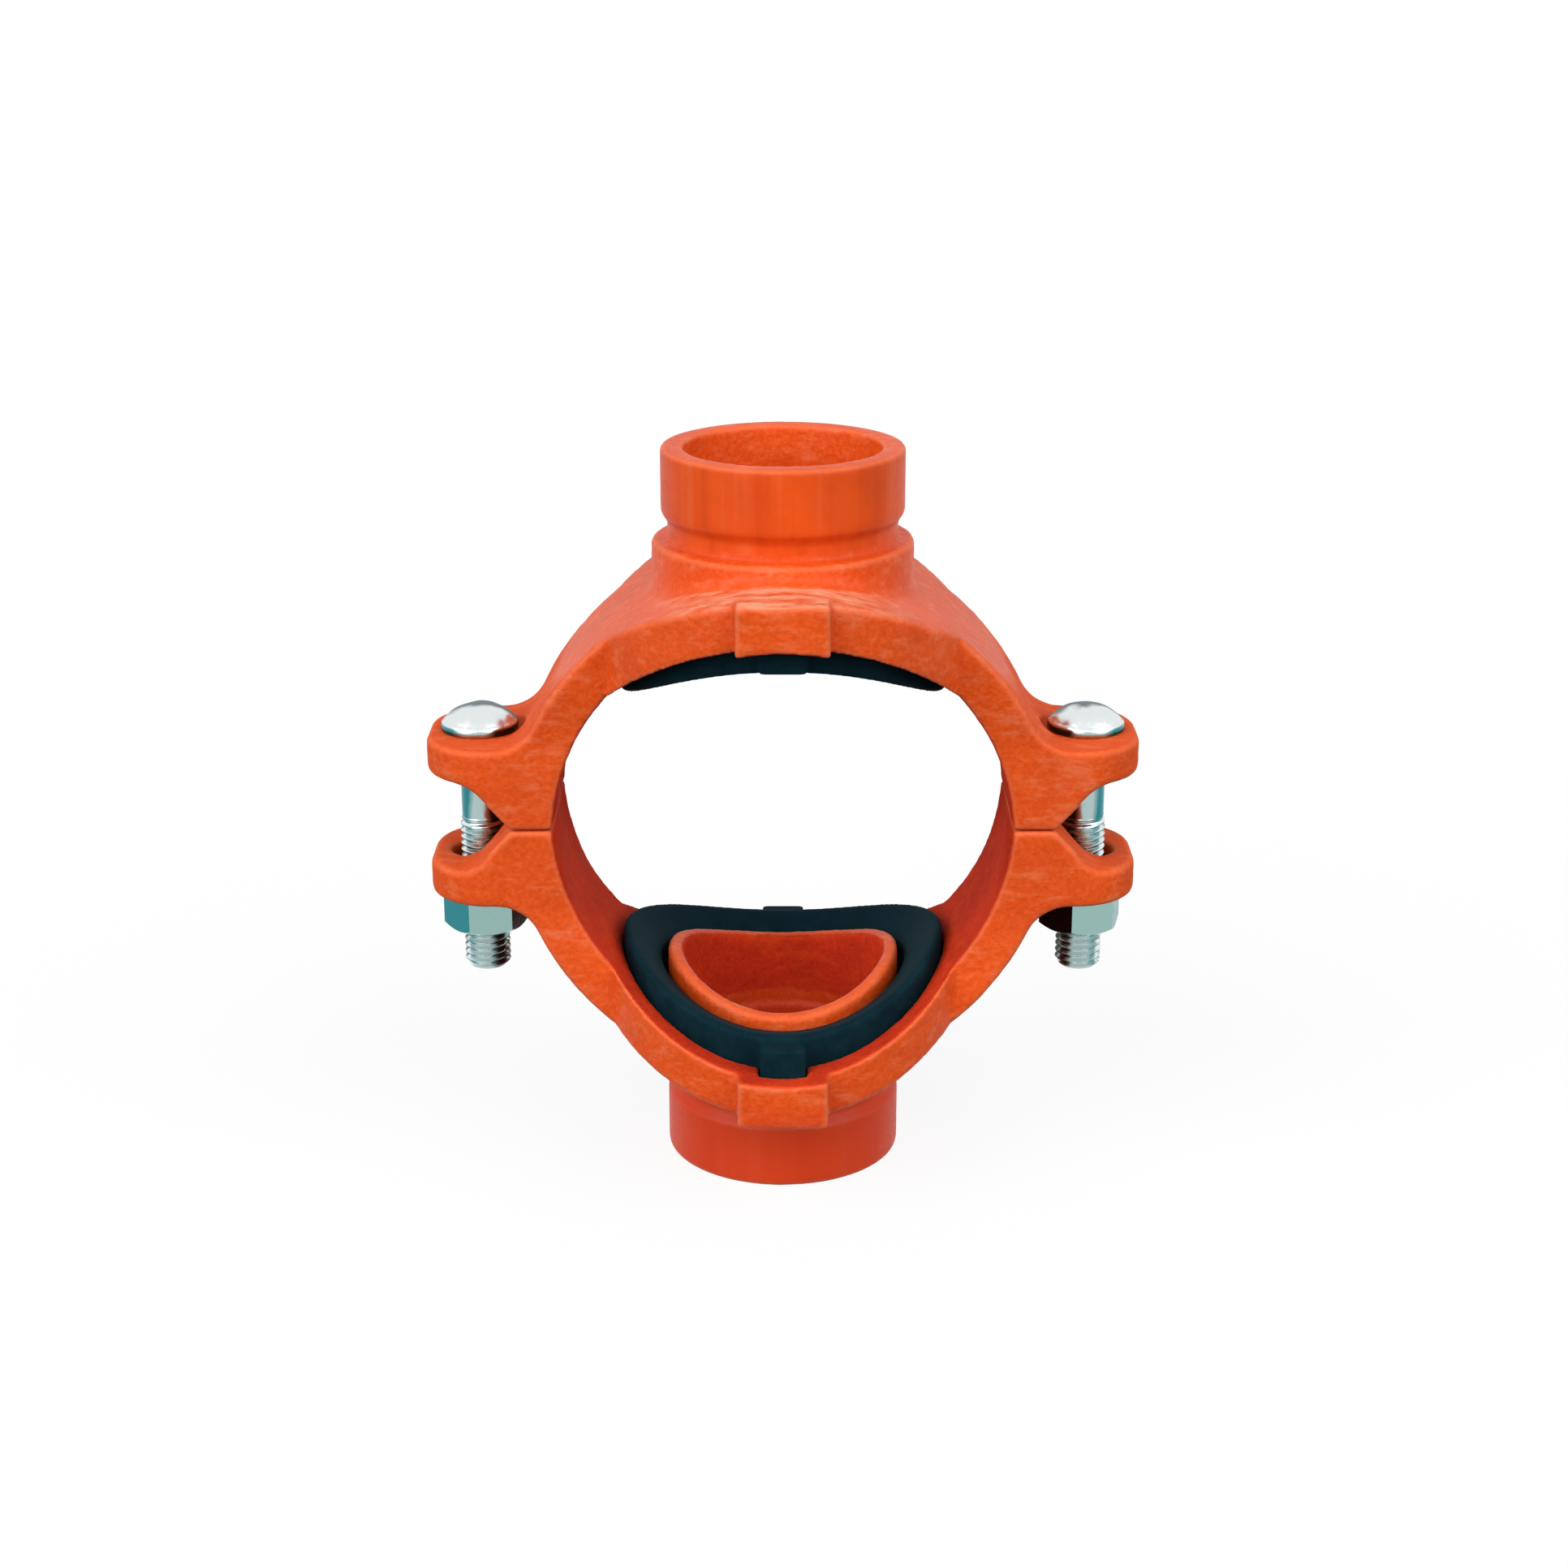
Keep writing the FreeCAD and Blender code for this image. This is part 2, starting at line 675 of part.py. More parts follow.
def make_bolt(name, way):
    """A track bolt: a low domed head, an oval neck that can't turn in its hole, and a thread."""
    body = new_body(name)
    body.setExpression("Placement.Base.x", (bolt_place * way).formula)
    body.setExpression("Placement.Base.z", size.lug_seat.formula)
    head = size.head_diameter / 2
    thread = size.thread_diameter / 2
    shank = size.shank_diameter / 2
    thread_start = size.thread_length - size.bolt_length
    dome = size.head_height - size.head_rim
    rise = dome.value
    dome_value = (head.value**2 + rise**2) / (2 * rise)
    dome_formula = f"(({head.formula})^2 + ({dome.formula})^2) / (2 * ({dome.formula}))"
    dome_radius = Dim(dome_value, dome_formula)
    corners = [
        (ORIGIN, -size.bolt_length),
        (thread - size.bolt_chamfer, -size.bolt_length),
        (thread, size.bolt_chamfer - size.bolt_length),
        (thread, thread_start),
        (shank, thread_start + (thread - shank)),
        (shank, ORIGIN),
        (head, ORIGIN),
        (head, size.head_rim),
        (ORIGIN, size.head_height),
    ]
    sketch = sketch_on(body, "XZ_Plane", "bolt_profile")
    add_outline(sketch, corners, {7: (dome_radius, (ORIGIN, size.head_height - dome_radius))})
    revolve(body, sketch, "bolt_blank")

    sketch = sketch_on(body, "XY_Plane", "neck_plan")
    radius = size.hole_width / 2 - size.neck_clearance
    straight = (size.hole_length - size.hole_width) / 2
    corners = [(-straight, -radius), (straight, -radius), (straight, radius), (-straight, radius)]
    add_slot(sketch, corners, radius)
    neck = pad(body, sketch, "neck", size.neck_length)
    neck.Reversed = True
    doc.recompute()
    return body


def make_nut(name, way, turn):
    """A hexagon nut with chamfered corners, on the far side of the lower lug."""
    body = new_body(name)
    body.setExpression("Placement.Base.x", (bolt_place * way).formula)
    body.setExpression("Placement.Base.z", (-size.lug_seat - size.nut_height).formula)
    flat = size.nut_width / 2
    corner = flat / COS_30
    corners = [
        (ORIGIN, ORIGIN),
        (corner - size.nut_chamfer_run, ORIGIN),
        (corner, size.nut_chamfer),
        (corner, size.nut_height - size.nut_chamfer),
        (corner - size.nut_chamfer_run, size.nut_height),
        (ORIGIN, size.nut_height),
    ]
    sketch = sketch_on(body, "XZ_Plane", "nut_profile")
    add_outline(sketch, corners)
    revolve(body, sketch, "nut_blank")

    # The flats are cut outside a hexagon that is turned as the nut stopped.
    sketch = sketch_on(body, "XY_Plane", "nut_flats")
    hexagon = []
    for step in range(6):
        angle = math.radians(60 * step + turn)
        x_share = Dim(math.cos(angle), f"cos({60 * step + turn}deg)")
        y_share = Dim(math.sin(angle), f"sin({60 * step + turn}deg)")
        hexagon.append((corner * x_share, corner * y_share))
    add_outline(sketch, hexagon)
    add_circle(sketch, corner + size.overcut)
    pocket(body, sketch, "flats")

    sketch = sketch_on(body, "XY_Plane", "nut_bore_plan")
    add_circle(sketch, size.thread_diameter / 2 + size.nut_clearance)
    pocket(body, sketch, "nut_bore")
    return body


nodes = [
    make_housing("upper_housing", False),
    make_housing("lower_housing", True),
    make_gasket("upper_gasket", False),
    make_gasket("lower_gasket", True),
    make_bolt("left_bolt", -1),
    make_bolt("right_bolt", 1),
    make_nut("left_nut", -1, LEFT_NUT_TURN),
    make_nut("right_nut", 1, RIGHT_NUT_TURN),
]
doc.recompute()

for thing in doc.Objects:
    if "Invalid" in thing.State or "Error" in thing.State:
        raise RuntimeError(f"{thing.Label} failed: {thing.State}")
for node in nodes:
    if node.Shape.isNull() or not node.Shape.isValid() or len(node.Shape.Solids) != 1:
        raise RuntimeError(f"{node.Label} is not one valid solid")

os.makedirs("parts", exist_ok=True)
for node in nodes:
    node.Shape.exportStep(f"parts/{node.Label}.step")
    print(node.Label, "volume", round(node.Shape.Volume), "mm3")
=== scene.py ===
import math

import bmesh
import bpy
import numpy as np
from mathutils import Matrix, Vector, noise
from mathutils.bvhtree import BVHTree


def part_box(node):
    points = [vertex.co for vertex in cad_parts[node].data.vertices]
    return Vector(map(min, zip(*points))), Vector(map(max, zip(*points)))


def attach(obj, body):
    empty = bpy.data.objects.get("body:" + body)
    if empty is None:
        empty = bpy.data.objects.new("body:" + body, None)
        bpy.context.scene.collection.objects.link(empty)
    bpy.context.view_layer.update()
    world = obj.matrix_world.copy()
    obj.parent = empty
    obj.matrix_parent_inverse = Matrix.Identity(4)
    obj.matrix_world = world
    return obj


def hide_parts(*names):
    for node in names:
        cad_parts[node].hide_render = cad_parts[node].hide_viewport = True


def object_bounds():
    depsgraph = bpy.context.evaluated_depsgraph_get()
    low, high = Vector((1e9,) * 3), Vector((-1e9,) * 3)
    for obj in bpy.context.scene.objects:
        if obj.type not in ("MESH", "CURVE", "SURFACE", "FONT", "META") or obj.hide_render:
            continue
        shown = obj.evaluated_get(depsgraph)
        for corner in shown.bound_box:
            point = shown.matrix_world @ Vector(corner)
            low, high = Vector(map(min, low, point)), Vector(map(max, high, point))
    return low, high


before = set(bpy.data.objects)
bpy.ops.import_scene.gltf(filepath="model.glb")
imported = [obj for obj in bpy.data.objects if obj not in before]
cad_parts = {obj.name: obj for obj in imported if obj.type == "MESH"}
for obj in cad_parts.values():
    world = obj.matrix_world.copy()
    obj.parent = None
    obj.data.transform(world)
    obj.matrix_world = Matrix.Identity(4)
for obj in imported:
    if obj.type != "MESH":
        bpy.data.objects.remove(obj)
cad_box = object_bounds()
MM = 0.001

# Camera: the photograph was taken from in front of the run pipe's bore, a little above it, so
# that the top outlet shows its mouth and the lower casting shows the inside of its saddle.
camera = bpy.data.objects.new("camera", bpy.data.cameras.new("camera"))
camera.location = (0.000286, -0.66531, 0.23016)
camera.rotation_euler = (math.radians(71.339), 0, 0)
camera.data.sensor_width = 36
camera.data.lens = 63.2
camera.data.clip_start = 0.05
camera.data.clip_end = 60
bpy.context.scene.collection.objects.link(camera)
bpy.context.scene.camera = camera


# The two castings: ductile iron poured in sand moulds, so the skin is grainy and the edges are
# broken, then turned where the outlet's land and groove are. Both are dipped in a thin
# orange-red enamel that levels in the grain and thins out over the edges.

# The mesh: how fine it is, how much of it is kept, and how far its edges are broken.
CAST_VOXEL = 0.6 * MM
KEPT_FACES = 0.56
WELD_GAP = 0.002 * MM
RELAX_SHARE = 0.5
ROUNDS_BEFORE_SNAP = 2
ROUNDS_AFTER_SNAP = 5

# The sand-cast skin: shallow bows, and grain whose pattern is SEED_STEP away from theirs. Half of
# it shows out on the arms and a tenth on the turned outlet. Edge wear with a painted highlight,
# and crease pooling with painted shade, are read from how far a place stands out of a softened
# copy.
BOW_SIZE = 11.0 * MM
BOW_DEPTH = 0.12 * MM
GRAIN_SIZE = 1.9 * MM
GRAIN_DEPTH = 0.10 * MM
SEED_STEP = 9
ROUGH_REACH = 56.0 * MM
REACH_BLEND = 4.0 * MM
ARM_SHARE = 0.5
TURNED_SHARE = 0.1
EDGE_SHADING_ROUNDS = 7
EDGE_SHADING_DEPTH = 0.2 * MM

# Places on the casting: heights from the split, and reaches from the outlet's axis or, for the
# saddle, from the run pipe's axis, which lies past the split.
TURNED_FROM = 71.5 * MM
TURNED_BLEND = 1.0 * MM
BORE_REACH = 26.5 * MM
COLLAR_TOP = 62.0 * MM
SEAT_REACH = 33.0 * MM
SADDLE_AXIS = 2.7 * MM
SADDLE_REACH = 58.4 * MM
ROOF_RADIUS = 68.5 * MM
ROOF_FROM = 58.0 * MM
ROOF_FULL = 64.0 * MM
ROOF_TO = 67.5 * MM
SKIRT_RADIUS = 32.5 * MM
SKIRT_HOLLOW = 3.0 * MM
SKIRT_REACH = 34.0 * MM
SKIRT_BLEND = 1.0 * MM

# How far the skin has to face upwards to be roof, and inwards to be saddle, where 1 is square
# on. A face has the dull coat if all its corners are past the threshold below in dullness and
# painted shade.
UPWARD_FROM = 0.5
INWARD_FROM = 0.3
INWARD_FULL = 0.8
DULL_FROM = 0.5

# The key bar, which is sunk into the roof behind its front ends.
KEY_REACH = 12.5 * MM
KEY_TOP = 66.3 * MM
KEY_FROM = 41.0 * MM
KEY_FULL = 46.5 * MM
KEY_RISE = 1.6 * MM
KEY_ROUNDS = 6

ENAMEL = "#E55312"
# The deep colour also paints shade in the creases, and the thin one a highlight along the edges.
ENAMEL_DEEP_AND_CREASE_SHADE = "#CC430C"
ENAMEL_THIN_AND_EDGE_HIGHLIGHT = "#F08A5E"
# A painted sheen on the roof, in pale streaks.
ENAMEL_PAINTED_SHEEN = "#F4A582"
# Painted shade, inside the saddle and the collar and low down.
ENAMEL_PAINTED_SHADE = "#D1391D"
ENAMEL_PAINTED_SHADE_DEEP = "#A52614"
ENAMEL_IOR = 1.5

# Between these heights the coat turns redder and darker on its way down, a painted shade, and on
# the arms it is duller.
LOW_FROM = -58.0 * MM
LOW_FULL = -69.0 * MM
ARM_DULLNESS = 0.24

# Moulding sand has grains of about 0.3 mm, too fine to show: grain and pits are drawn coarser.
# Streaks, runs and patches of enamel are at their own size.
GRAIN_SPACING = 1.2 * MM
GRAIN_BUMP = 0.26 * MM
PIT_SPACING = 3.4 * MM
PIT_BUMP = 0.1 * MM
STREAK_SPACING = 3.0 * MM
STREAK_STRETCH = (0.3, 0.8, 1)
RUN_SPACING = 7 * MM
RUN_STRETCH = (1, 1, 0.04)
PATCH_SPACING = 14 * MM
NO_STRETCH = (1, 1, 1)


def linear(code):
    """The linear colour of an sRGB hex code, with full alpha."""
    shares = [int(code[i : i + 2], 16) / 255 for i in (1, 3, 5)]
    curve = [s / 12.92 if s <= 0.04045 else ((s + 0.055) / 1.055) ** 2.4 for s in shares]
    return (*curve, 1.0)


def add_node(tree, kind, settings=None, inputs=None):
    """Adds a node. Its inputs are values or other nodes' outputs, by socket name or number."""
    node = tree.nodes.new(kind)
    for name, value in (settings or {}).items():
        setattr(node, name, value)
    for socket, value in (inputs or {}).items():
        if isinstance(value, bpy.types.NodeSocket):
            tree.links.new(value, node.inputs[socket])
        else:
            node.inputs[socket].default_value = value
    return node


def new_material(name):
    """An empty material with its output node: returns the material, its tree and the output."""
    material = bpy.data.materials.new(name)
    material.use_nodes = True
    material.node_tree.nodes.clear()
    output = add_node(material.node_tree, "ShaderNodeOutputMaterial")
    return material, material.node_tree, output


def coordinates_of(mesh):
    points = np.empty(len(mesh.vertices) * 3)
    mesh.vertices.foreach_get("co", points)
    return points.reshape(-1, 3)


def relaxed(points, edges, rounds, movable=1):
    """The points after some rounds of moving the movable ones towards their neighbours' mean."""
    neighbours = np.bincount(edges.ravel(), minlength=len(points))[:, None]
    for _ in range(rounds):
        total = np.zeros_like(points)
        for axis in range(3):
            total[:, axis] = np.bincount(
                edges[:, 0], points[edges[:, 1], axis], len(points)
            ) + np.bincount(edges[:, 1], points[edges[:, 0], axis], len(points))
        points = points + RELAX_SHARE * movable * (total / neighbours - points)
    return points


def dense_copy(node, name, voxel):
    """A new object with the CAD solid's shape, as one closed skin of even small faces."""
    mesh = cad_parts[node].data.copy()
    mesh.materials.clear()
    piece = bpy.data.objects.new(name, mesh)
    bpy.context.scene.collection.objects.link(piece)
    solid = bmesh.new()
    solid.from_mesh(mesh)
    bmesh.ops.remove_doubles(solid, verts=solid.verts, dist=WELD_GAP)
    solid.to_mesh(mesh)
    solid.free()
    remesh = piece.modifiers.new("even_faces", "REMESH")
    remesh.mode = "VOXEL"
    remesh.voxel_size = voxel
    bpy.context.view_layer.update()
    depsgraph = bpy.context.evaluated_depsgraph_get()
    piece.data = bpy.data.meshes.new_from_object(piece.evaluated_get(depsgraph))
    piece.data.name = name
    piece.modifiers.clear()
    bpy.data.meshes.remove(mesh)
    return piece


def edges_of(mesh):
    edges = np.empty(len(mesh.edges) * 2, dtype=np.int64)
    mesh.edges.foreach_get("vertices", edges)
    return edges.reshape(-1, 2)


def normals_of(mesh):
    normals = np.empty(len(mesh.vertices) * 3)
    mesh.vertex_normals.foreach_get("vector", normals)
    return normals.reshape(-1, 3)


def ripple(points, size, seed):
    """Smooth noise from -1 to 1 at each point, with bumps about this size across."""
    shift = Vector((seed, seed * 0.7, seed * 1.3))
    return np.array([noise.noise(Vector(point / size) + shift) for point in points])


def add_attribute(mesh, name, values):
    attribute = mesh.attributes.new(name, "FLOAT", "POINT")
    attribute.data.foreach_set("value", values.astype(np.float32))


def crisp(points, edges, surface):
    """The points laid back on the real surface, with its edges broken a little."""
    points = relaxed(points, edges, ROUNDS_BEFORE_SNAP)
    points = np.array([surface.find_nearest(Vector(point))[0] for point in points])
    return relaxed(points, edges, ROUNDS_AFTER_SNAP)


def sink_key(points, edges):
    """The points with the key bar sunk into the roof and its skirt, all but its front ends."""
    across, along, height = np.abs(points.T)
    in_plan = np.hypot(across, along)
    from_skirt = np.clip(in_plan - SKIRT_RADIUS, 0, SKIRT_HOLLOW)
    hollow = SKIRT_HOLLOW - np.sqrt(SKIRT_HOLLOW**2 - (SKIRT_HOLLOW - from_skirt) ** 2)
    key_share = np.clip((along - KEY_FROM) / (KEY_FULL - KEY_FROM), 0, 1)
    roof = np.sqrt(np.maximum(ROOF_RADIUS**2 - across**2, 0)) - SADDLE_AXIS
    top = roof + hollow + key_share * KEY_RISE
    on_key = (across < KEY_REACH) & (in_plan > SKIRT_RADIUS) & (along < KEY_FULL)
    on_key &= (height > top) & (height < KEY_TOP)
    sunk = points.copy()
    sunk[:, 2] = np.where(on_key, np.sign(points[:, 2]) * top, points[:, 2])
    return relaxed(sunk, edges, KEY_ROUNDS, on_key[:, None])


def make_casting(node, name, body, seed):
    """One casting, whose points keep as attributes what its enamel has to know of each place."""
    piece = dense_copy(node, name, CAST_VOXEL)
    mesh = piece.data
    edges = edges_of(mesh)
    depsgraph = bpy.context.evaluated_depsgraph_get()
    surface = BVHTree.FromObject(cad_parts[node], depsgraph)
    points = sink_key(crisp(coordinates_of(mesh), edges, surface), edges)
    mesh.vertices.foreach_set("co", points.ravel())
    mesh.update()

    # The edges' wear with a painted highlight, the creases' painted shade, and where the skin is
    # as cast, out on the arms, or on the roof with its painted sheen.
    across, along, height = np.abs(points.T)
    in_plan = np.hypot(across, along)
    normals = normals_of(mesh)
    flatter = relaxed(points, edges, EDGE_SHADING_ROUNDS)
    stands_out = ((points - flatter) * normals).sum(axis=1)
    add_attribute(mesh, "edge_highlight_and_crease_shade", np.clip(stands_out / EDGE_SHADING_DEPTH, -1, 1))
    as_cast = 1 - np.clip((height - TURNED_FROM) / TURNED_BLEND, 0, 1)
    as_cast = np.maximum(as_cast, in_plan < BORE_REACH)
    add_attribute(mesh, "as_cast", as_cast)
    away = np.clip((in_plan - ROUGH_REACH) / REACH_BLEND, 0, 1)
    add_attribute(mesh, "away_from_drum", away)
    upward = normals[:, 2] * np.sign(points[:, 2])
    roof_sheen = np.clip((height - ROOF_FROM) / (ROOF_FULL - ROOF_FROM), 0, 1)
    roof_sheen *= (height < ROOF_TO) * np.clip((in_plan - SKIRT_REACH) / SKIRT_BLEND, 0, 1)
    roof_sheen *= np.clip((upward - UPWARD_FROM) / (1 - UPWARD_FROM), 0, 1)
    add_attribute(mesh, "roof_sheen", roof_sheen)

    # The inside, duller and darkened with painted shade: the saddle beyond the gasket's seat, and
    # the collar.
    from_axis = np.hypot(points[:, 0], height + SADDLE_AXIS)
    inward = -(normals[:, 0] * points[:, 0] + upward * (height + SADDLE_AXIS)) / from_axis
    in_saddle = (from_axis < SADDLE_REACH) & (in_plan > SEAT_REACH)
    in_collar = (in_plan < BORE_REACH) & (height < COLLAR_TOP)
    dullness_and_painted_shade = in_saddle * np.clip((inward - INWARD_FROM) / (INWARD_FULL - INWARD_FROM), 0, 1)
    add_attribute(mesh, "dullness_and_painted_shade", np.maximum(dullness_and_painted_shade, in_collar))

    # The skin itself, then fewer faces where it is plain, all inside the solid's own box.
    bow = ripple(points, BOW_SIZE, seed) * BOW_DEPTH
    grain = ripple(points, GRAIN_SIZE, seed + SEED_STEP) * GRAIN_DEPTH
    rough_share = as_cast * (1 - (1 - ARM_SHARE) * away)
    rough_share = np.maximum(rough_share, TURNED_SHARE)
    points += normals * ((bow + grain) * rough_share)[:, None]
    mesh.vertices.foreach_set("co", points.ravel())
    mesh.update()

    fewer = piece.modifiers.new("fewer_faces", "DECIMATE")
    fewer.ratio = KEPT_FACES
    bpy.context.view_layer.update()
    depsgraph = bpy.context.evaluated_depsgraph_get()
    piece.data = bpy.data.meshes.new_from_object(piece.evaluated_get(depsgraph))
    piece.modifiers.clear()
    bpy.data.meshes.remove(mesh)
    mesh = piece.data
    mesh.name = name
    low, high = (np.array(corner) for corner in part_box(node))
    mesh.vertices.foreach_set("co", np.clip(coordinates_of(mesh), low, high).ravel())
    mesh.update()
    mesh.shade_smooth()
    mesh.materials.append(enamel)
    mesh.materials.append(dry_enamel)
    dullness_and_painted_shade = mesh.attributes["dullness_and_painted_shade"].data
    for face in mesh.polygons:
        least_dull = min(dullness_and_painted_shade[corner].value for corner in face.vertices)
        face.material_index = least_dull > DULL_FROM
    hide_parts(node)
    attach(piece, body)


# Orange-red enamel over a sand-cast skin: semi-gloss, deeper in the hollows where it pools and
# with painted shade in the creases, paler where it thins over an edge and with a painted
# highlight there, with the sand's grain just showing. On the turned outlet it lies smooth in faint
# runs, on the roof it has a painted sheen in pale streaks, low down it is redder with painted
# shade, and inside the saddle and the collar it is duller and darkened with painted shade.
def enamel_over_iron(name, roughness, reflection):
    material, tree, output = new_material(name)
    place = add_node(tree, "ShaderNodeTexCoord").outputs["Object"]
    edge_light_and_shade, as_cast, away, roof_sheen, dullness_and_painted_shade = (
        add_node(tree, "ShaderNodeAttribute", {"attribute_name": attribute}).outputs["Fac"]
        for attribute in ("edge_highlight_and_crease_shade", "as_cast", "away_from_drum", "roof_sheen", "dullness_and_painted_shade")
    )
    patches, grain, streaks, runs = (
        add_node(
            tree,
            "ShaderNodeTexNoise",
            inputs={
                "Vector": add_node(
                    tree, "ShaderNodeMapping", inputs={"Vector": place, "Scale": stretch}
                ).outputs[0],
                "Scale": 1 / spacing, "Detail": detail, "Roughness": 0.62,
            },
        ).outputs["Fac"]
        for spacing, detail, stretch in (
            (PATCH_SPACING, 4, NO_STRETCH),
            (GRAIN_SPACING, 3, NO_STRETCH),
            (STREAK_SPACING, 3, STREAK_STRETCH),
            (RUN_SPACING, 2, RUN_STRETCH),
        )
    )
    pits = add_node(
        tree,
        "ShaderNodeTexVoronoi",
        inputs={"Vector": place, "Scale": 1 / PIT_SPACING, "Randomness": 1.0},
    ).outputs["Distance"]

    plain, deep_and_crease_shade, thin_and_edge_highlight = (
        add_node(
            tree,
            "ShaderNodeMix",
            {"data_type": "RGBA"},
            {0: dullness_and_painted_shade, 6: linear(wet), 7: linear(painted_shade)},
        ).outputs[2]
        for wet, painted_shade in (
            (ENAMEL, ENAMEL_PAINTED_SHADE),
            (ENAMEL_DEEP_AND_CREASE_SHADE, ENAMEL_PAINTED_SHADE_DEEP),
            (ENAMEL_THIN_AND_EDGE_HIGHLIGHT, ENAMEL),
        )
    )
    turned = add_node(
        tree, "ShaderNodeMath", {"operation": "SUBTRACT"}, {0: 1.0, 1: as_cast}
    ).outputs[0]
    height = add_node(tree, "ShaderNodeSeparateXYZ", inputs={0: place}).outputs["Z"]
    # Each layer fades in as its pattern goes from one value to the next, up to its share, and
    # only on one part of the casting where a part is named.
    layers = [
        (patches, 0.38, 0.66, 0.5, None, deep_and_crease_shade),
        (runs, 0.52, 0.62, 0.5, turned, deep_and_crease_shade),
        (runs, 0.46, 0.36, 0.15, turned, thin_and_edge_highlight),
        (grain, 0.5, 0.68, 0.15, as_cast, thin_and_edge_highlight),
        (grain, 0.48, 0.34, 0.45, as_cast, deep_and_crease_shade),
        (streaks, 0.52, 0.68, 0.3, as_cast, thin_and_edge_highlight),
        # A painted sheen: pale streaks on the upward-facing roof.
        (streaks, 0.34, 0.6, 0.95, roof_sheen, linear(ENAMEL_PAINTED_SHEEN)),
        # Painted shade: redder and darker low down.
        (height, LOW_FROM, LOW_FULL, 0.75, None, linear(ENAMEL_PAINTED_SHADE)),
        # Painted shade in the creases, where the enamel also pools, and a painted highlight along
        # the edges, where it also thins.
        (edge_light_and_shade, -0.15, -0.9, 0.8, None, deep_and_crease_shade),
        (edge_light_and_shade, 0.3, 0.95, 0.36, None, thin_and_edge_highlight),
    ]
    coat = plain
    for pattern, shows_from, shows_fully, most, part, colour in layers:
        share = add_node(
            tree,
            "ShaderNodeMapRange",
            inputs={"Value": pattern, "From Min": shows_from, "From Max": shows_fully,
                    "To Max": most},
        ).outputs[0]
        if part:
            share = add_node(
                tree, "ShaderNodeMath", {"operation": "MULTIPLY"}, {0: share, 1: part}
            ).outputs[0]
        coat = add_node(
            tree, "ShaderNodeMix", {"data_type": "RGBA"}, {0: share, 6: coat, 7: colour}
        ).outputs[2]

    base_gloss = add_node(
        tree,
        "ShaderNodeMapRange",
        inputs={"Value": grain, "From Min": 0.3, "From Max": 0.7,
                "To Min": roughness - 0.06, "To Max": roughness + 0.08},
    )
    gloss = add_node(
        tree,
        "ShaderNodeMath",
        {"operation": "MULTIPLY_ADD"},
        {0: away, 1: ARM_DULLNESS, 2: base_gloss.outputs[0]},
    )
    grain_strength = add_node(
        tree,
        "ShaderNodeMapRange",
        inputs={"Value": as_cast, "To Min": 0.05, "To Max": 0.8},
    ).outputs[0]
    grain_bump = add_node(
        tree,
        "ShaderNodeBump",
        inputs={"Height": grain, "Strength": grain_strength, "Distance": GRAIN_BUMP},
    )
    pit_depth = add_node(
        tree,
        "ShaderNodeMapRange",
        inputs={"Value": pits, "From Min": 0.0, "From Max": 0.35},
    )
    pit_bump = add_node(
        tree,
        "ShaderNodeBump",
        inputs={"Height": pit_depth.outputs[0], "Strength": grain_strength,
                "Distance": PIT_BUMP, "Normal": grain_bump.outputs[0]},
    )
    shader = add_node(
        tree,
        "ShaderNodeBsdfPrincipled",
        inputs={"Base Color": coat, "Roughness": gloss.outputs[0],
                "Normal": pit_bump.outputs[0], "IOR": ENAMEL_IOR,
                "Specular IOR Level": reflection},
    )
    tree.links.new(shader.outputs[0], output.inputs[0])
    return material


enamel = enamel_over_iron("enamelled_ductile_iron", roughness=0.44, reflection=0.2)
dry_enamel = enamel_over_iron("dry_enamel_inside_casting", roughness=0.7, reflection=0.06)

make_casting("lower_housing", "lower_casting", "lower_half", seed=3.0)
make_casting("upper_housing", "upper_casting", "upper_half", seed=41.0)


# The two gaskets: moulded black rubber rings, swept round the pipe, each with a tab front and
# back that sits in a notch of the casting. The moulds leave a satin face with a faint flow.
GASKET_VOXEL = 0.62 * MM
GASKET_SOFT_ROUNDS = 3
REAR_LIFT = 2.3 * MM
LIFT_FROM = 6 * MM
LIFT_FULL = 40 * MM
RUBBER = "#08222A"
RUBBER_DUSTY = "#193742"
RUBBER_IOR = 1.52
RUBBER_REFLECTION = 0.03
FLOW_SPACING = 6 * MM
# The moulded skin's own texture is about 0.2 mm, and is drawn coarser so that it shows.
SKIN_SPACING = 0.8 * MM
SKIN_BUMP = 0.06 * MM


def make_gasket(node, name, body, rear_lift):
    """One gasket. Its rear isn't pressed home yet, so it lifts, eased in from the middle."""
    piece = dense_copy(node, name, GASKET_VOXEL)
    mesh = piece.data
    points = relaxed(coordinates_of(mesh), edges_of(mesh), GASKET_SOFT_ROUNDS)
    share = np.clip((points[:, 1] - LIFT_FROM) / (LIFT_FULL - LIFT_FROM), 0, 1)
    points[:, 2] += rear_lift * share * share * (3 - 2 * share)
    mesh.vertices.foreach_set("co", points.ravel())
    mesh.update()
    mesh.shade_smooth()
    mesh.materials.append(rubber)
    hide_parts(node)
    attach(piece, body)


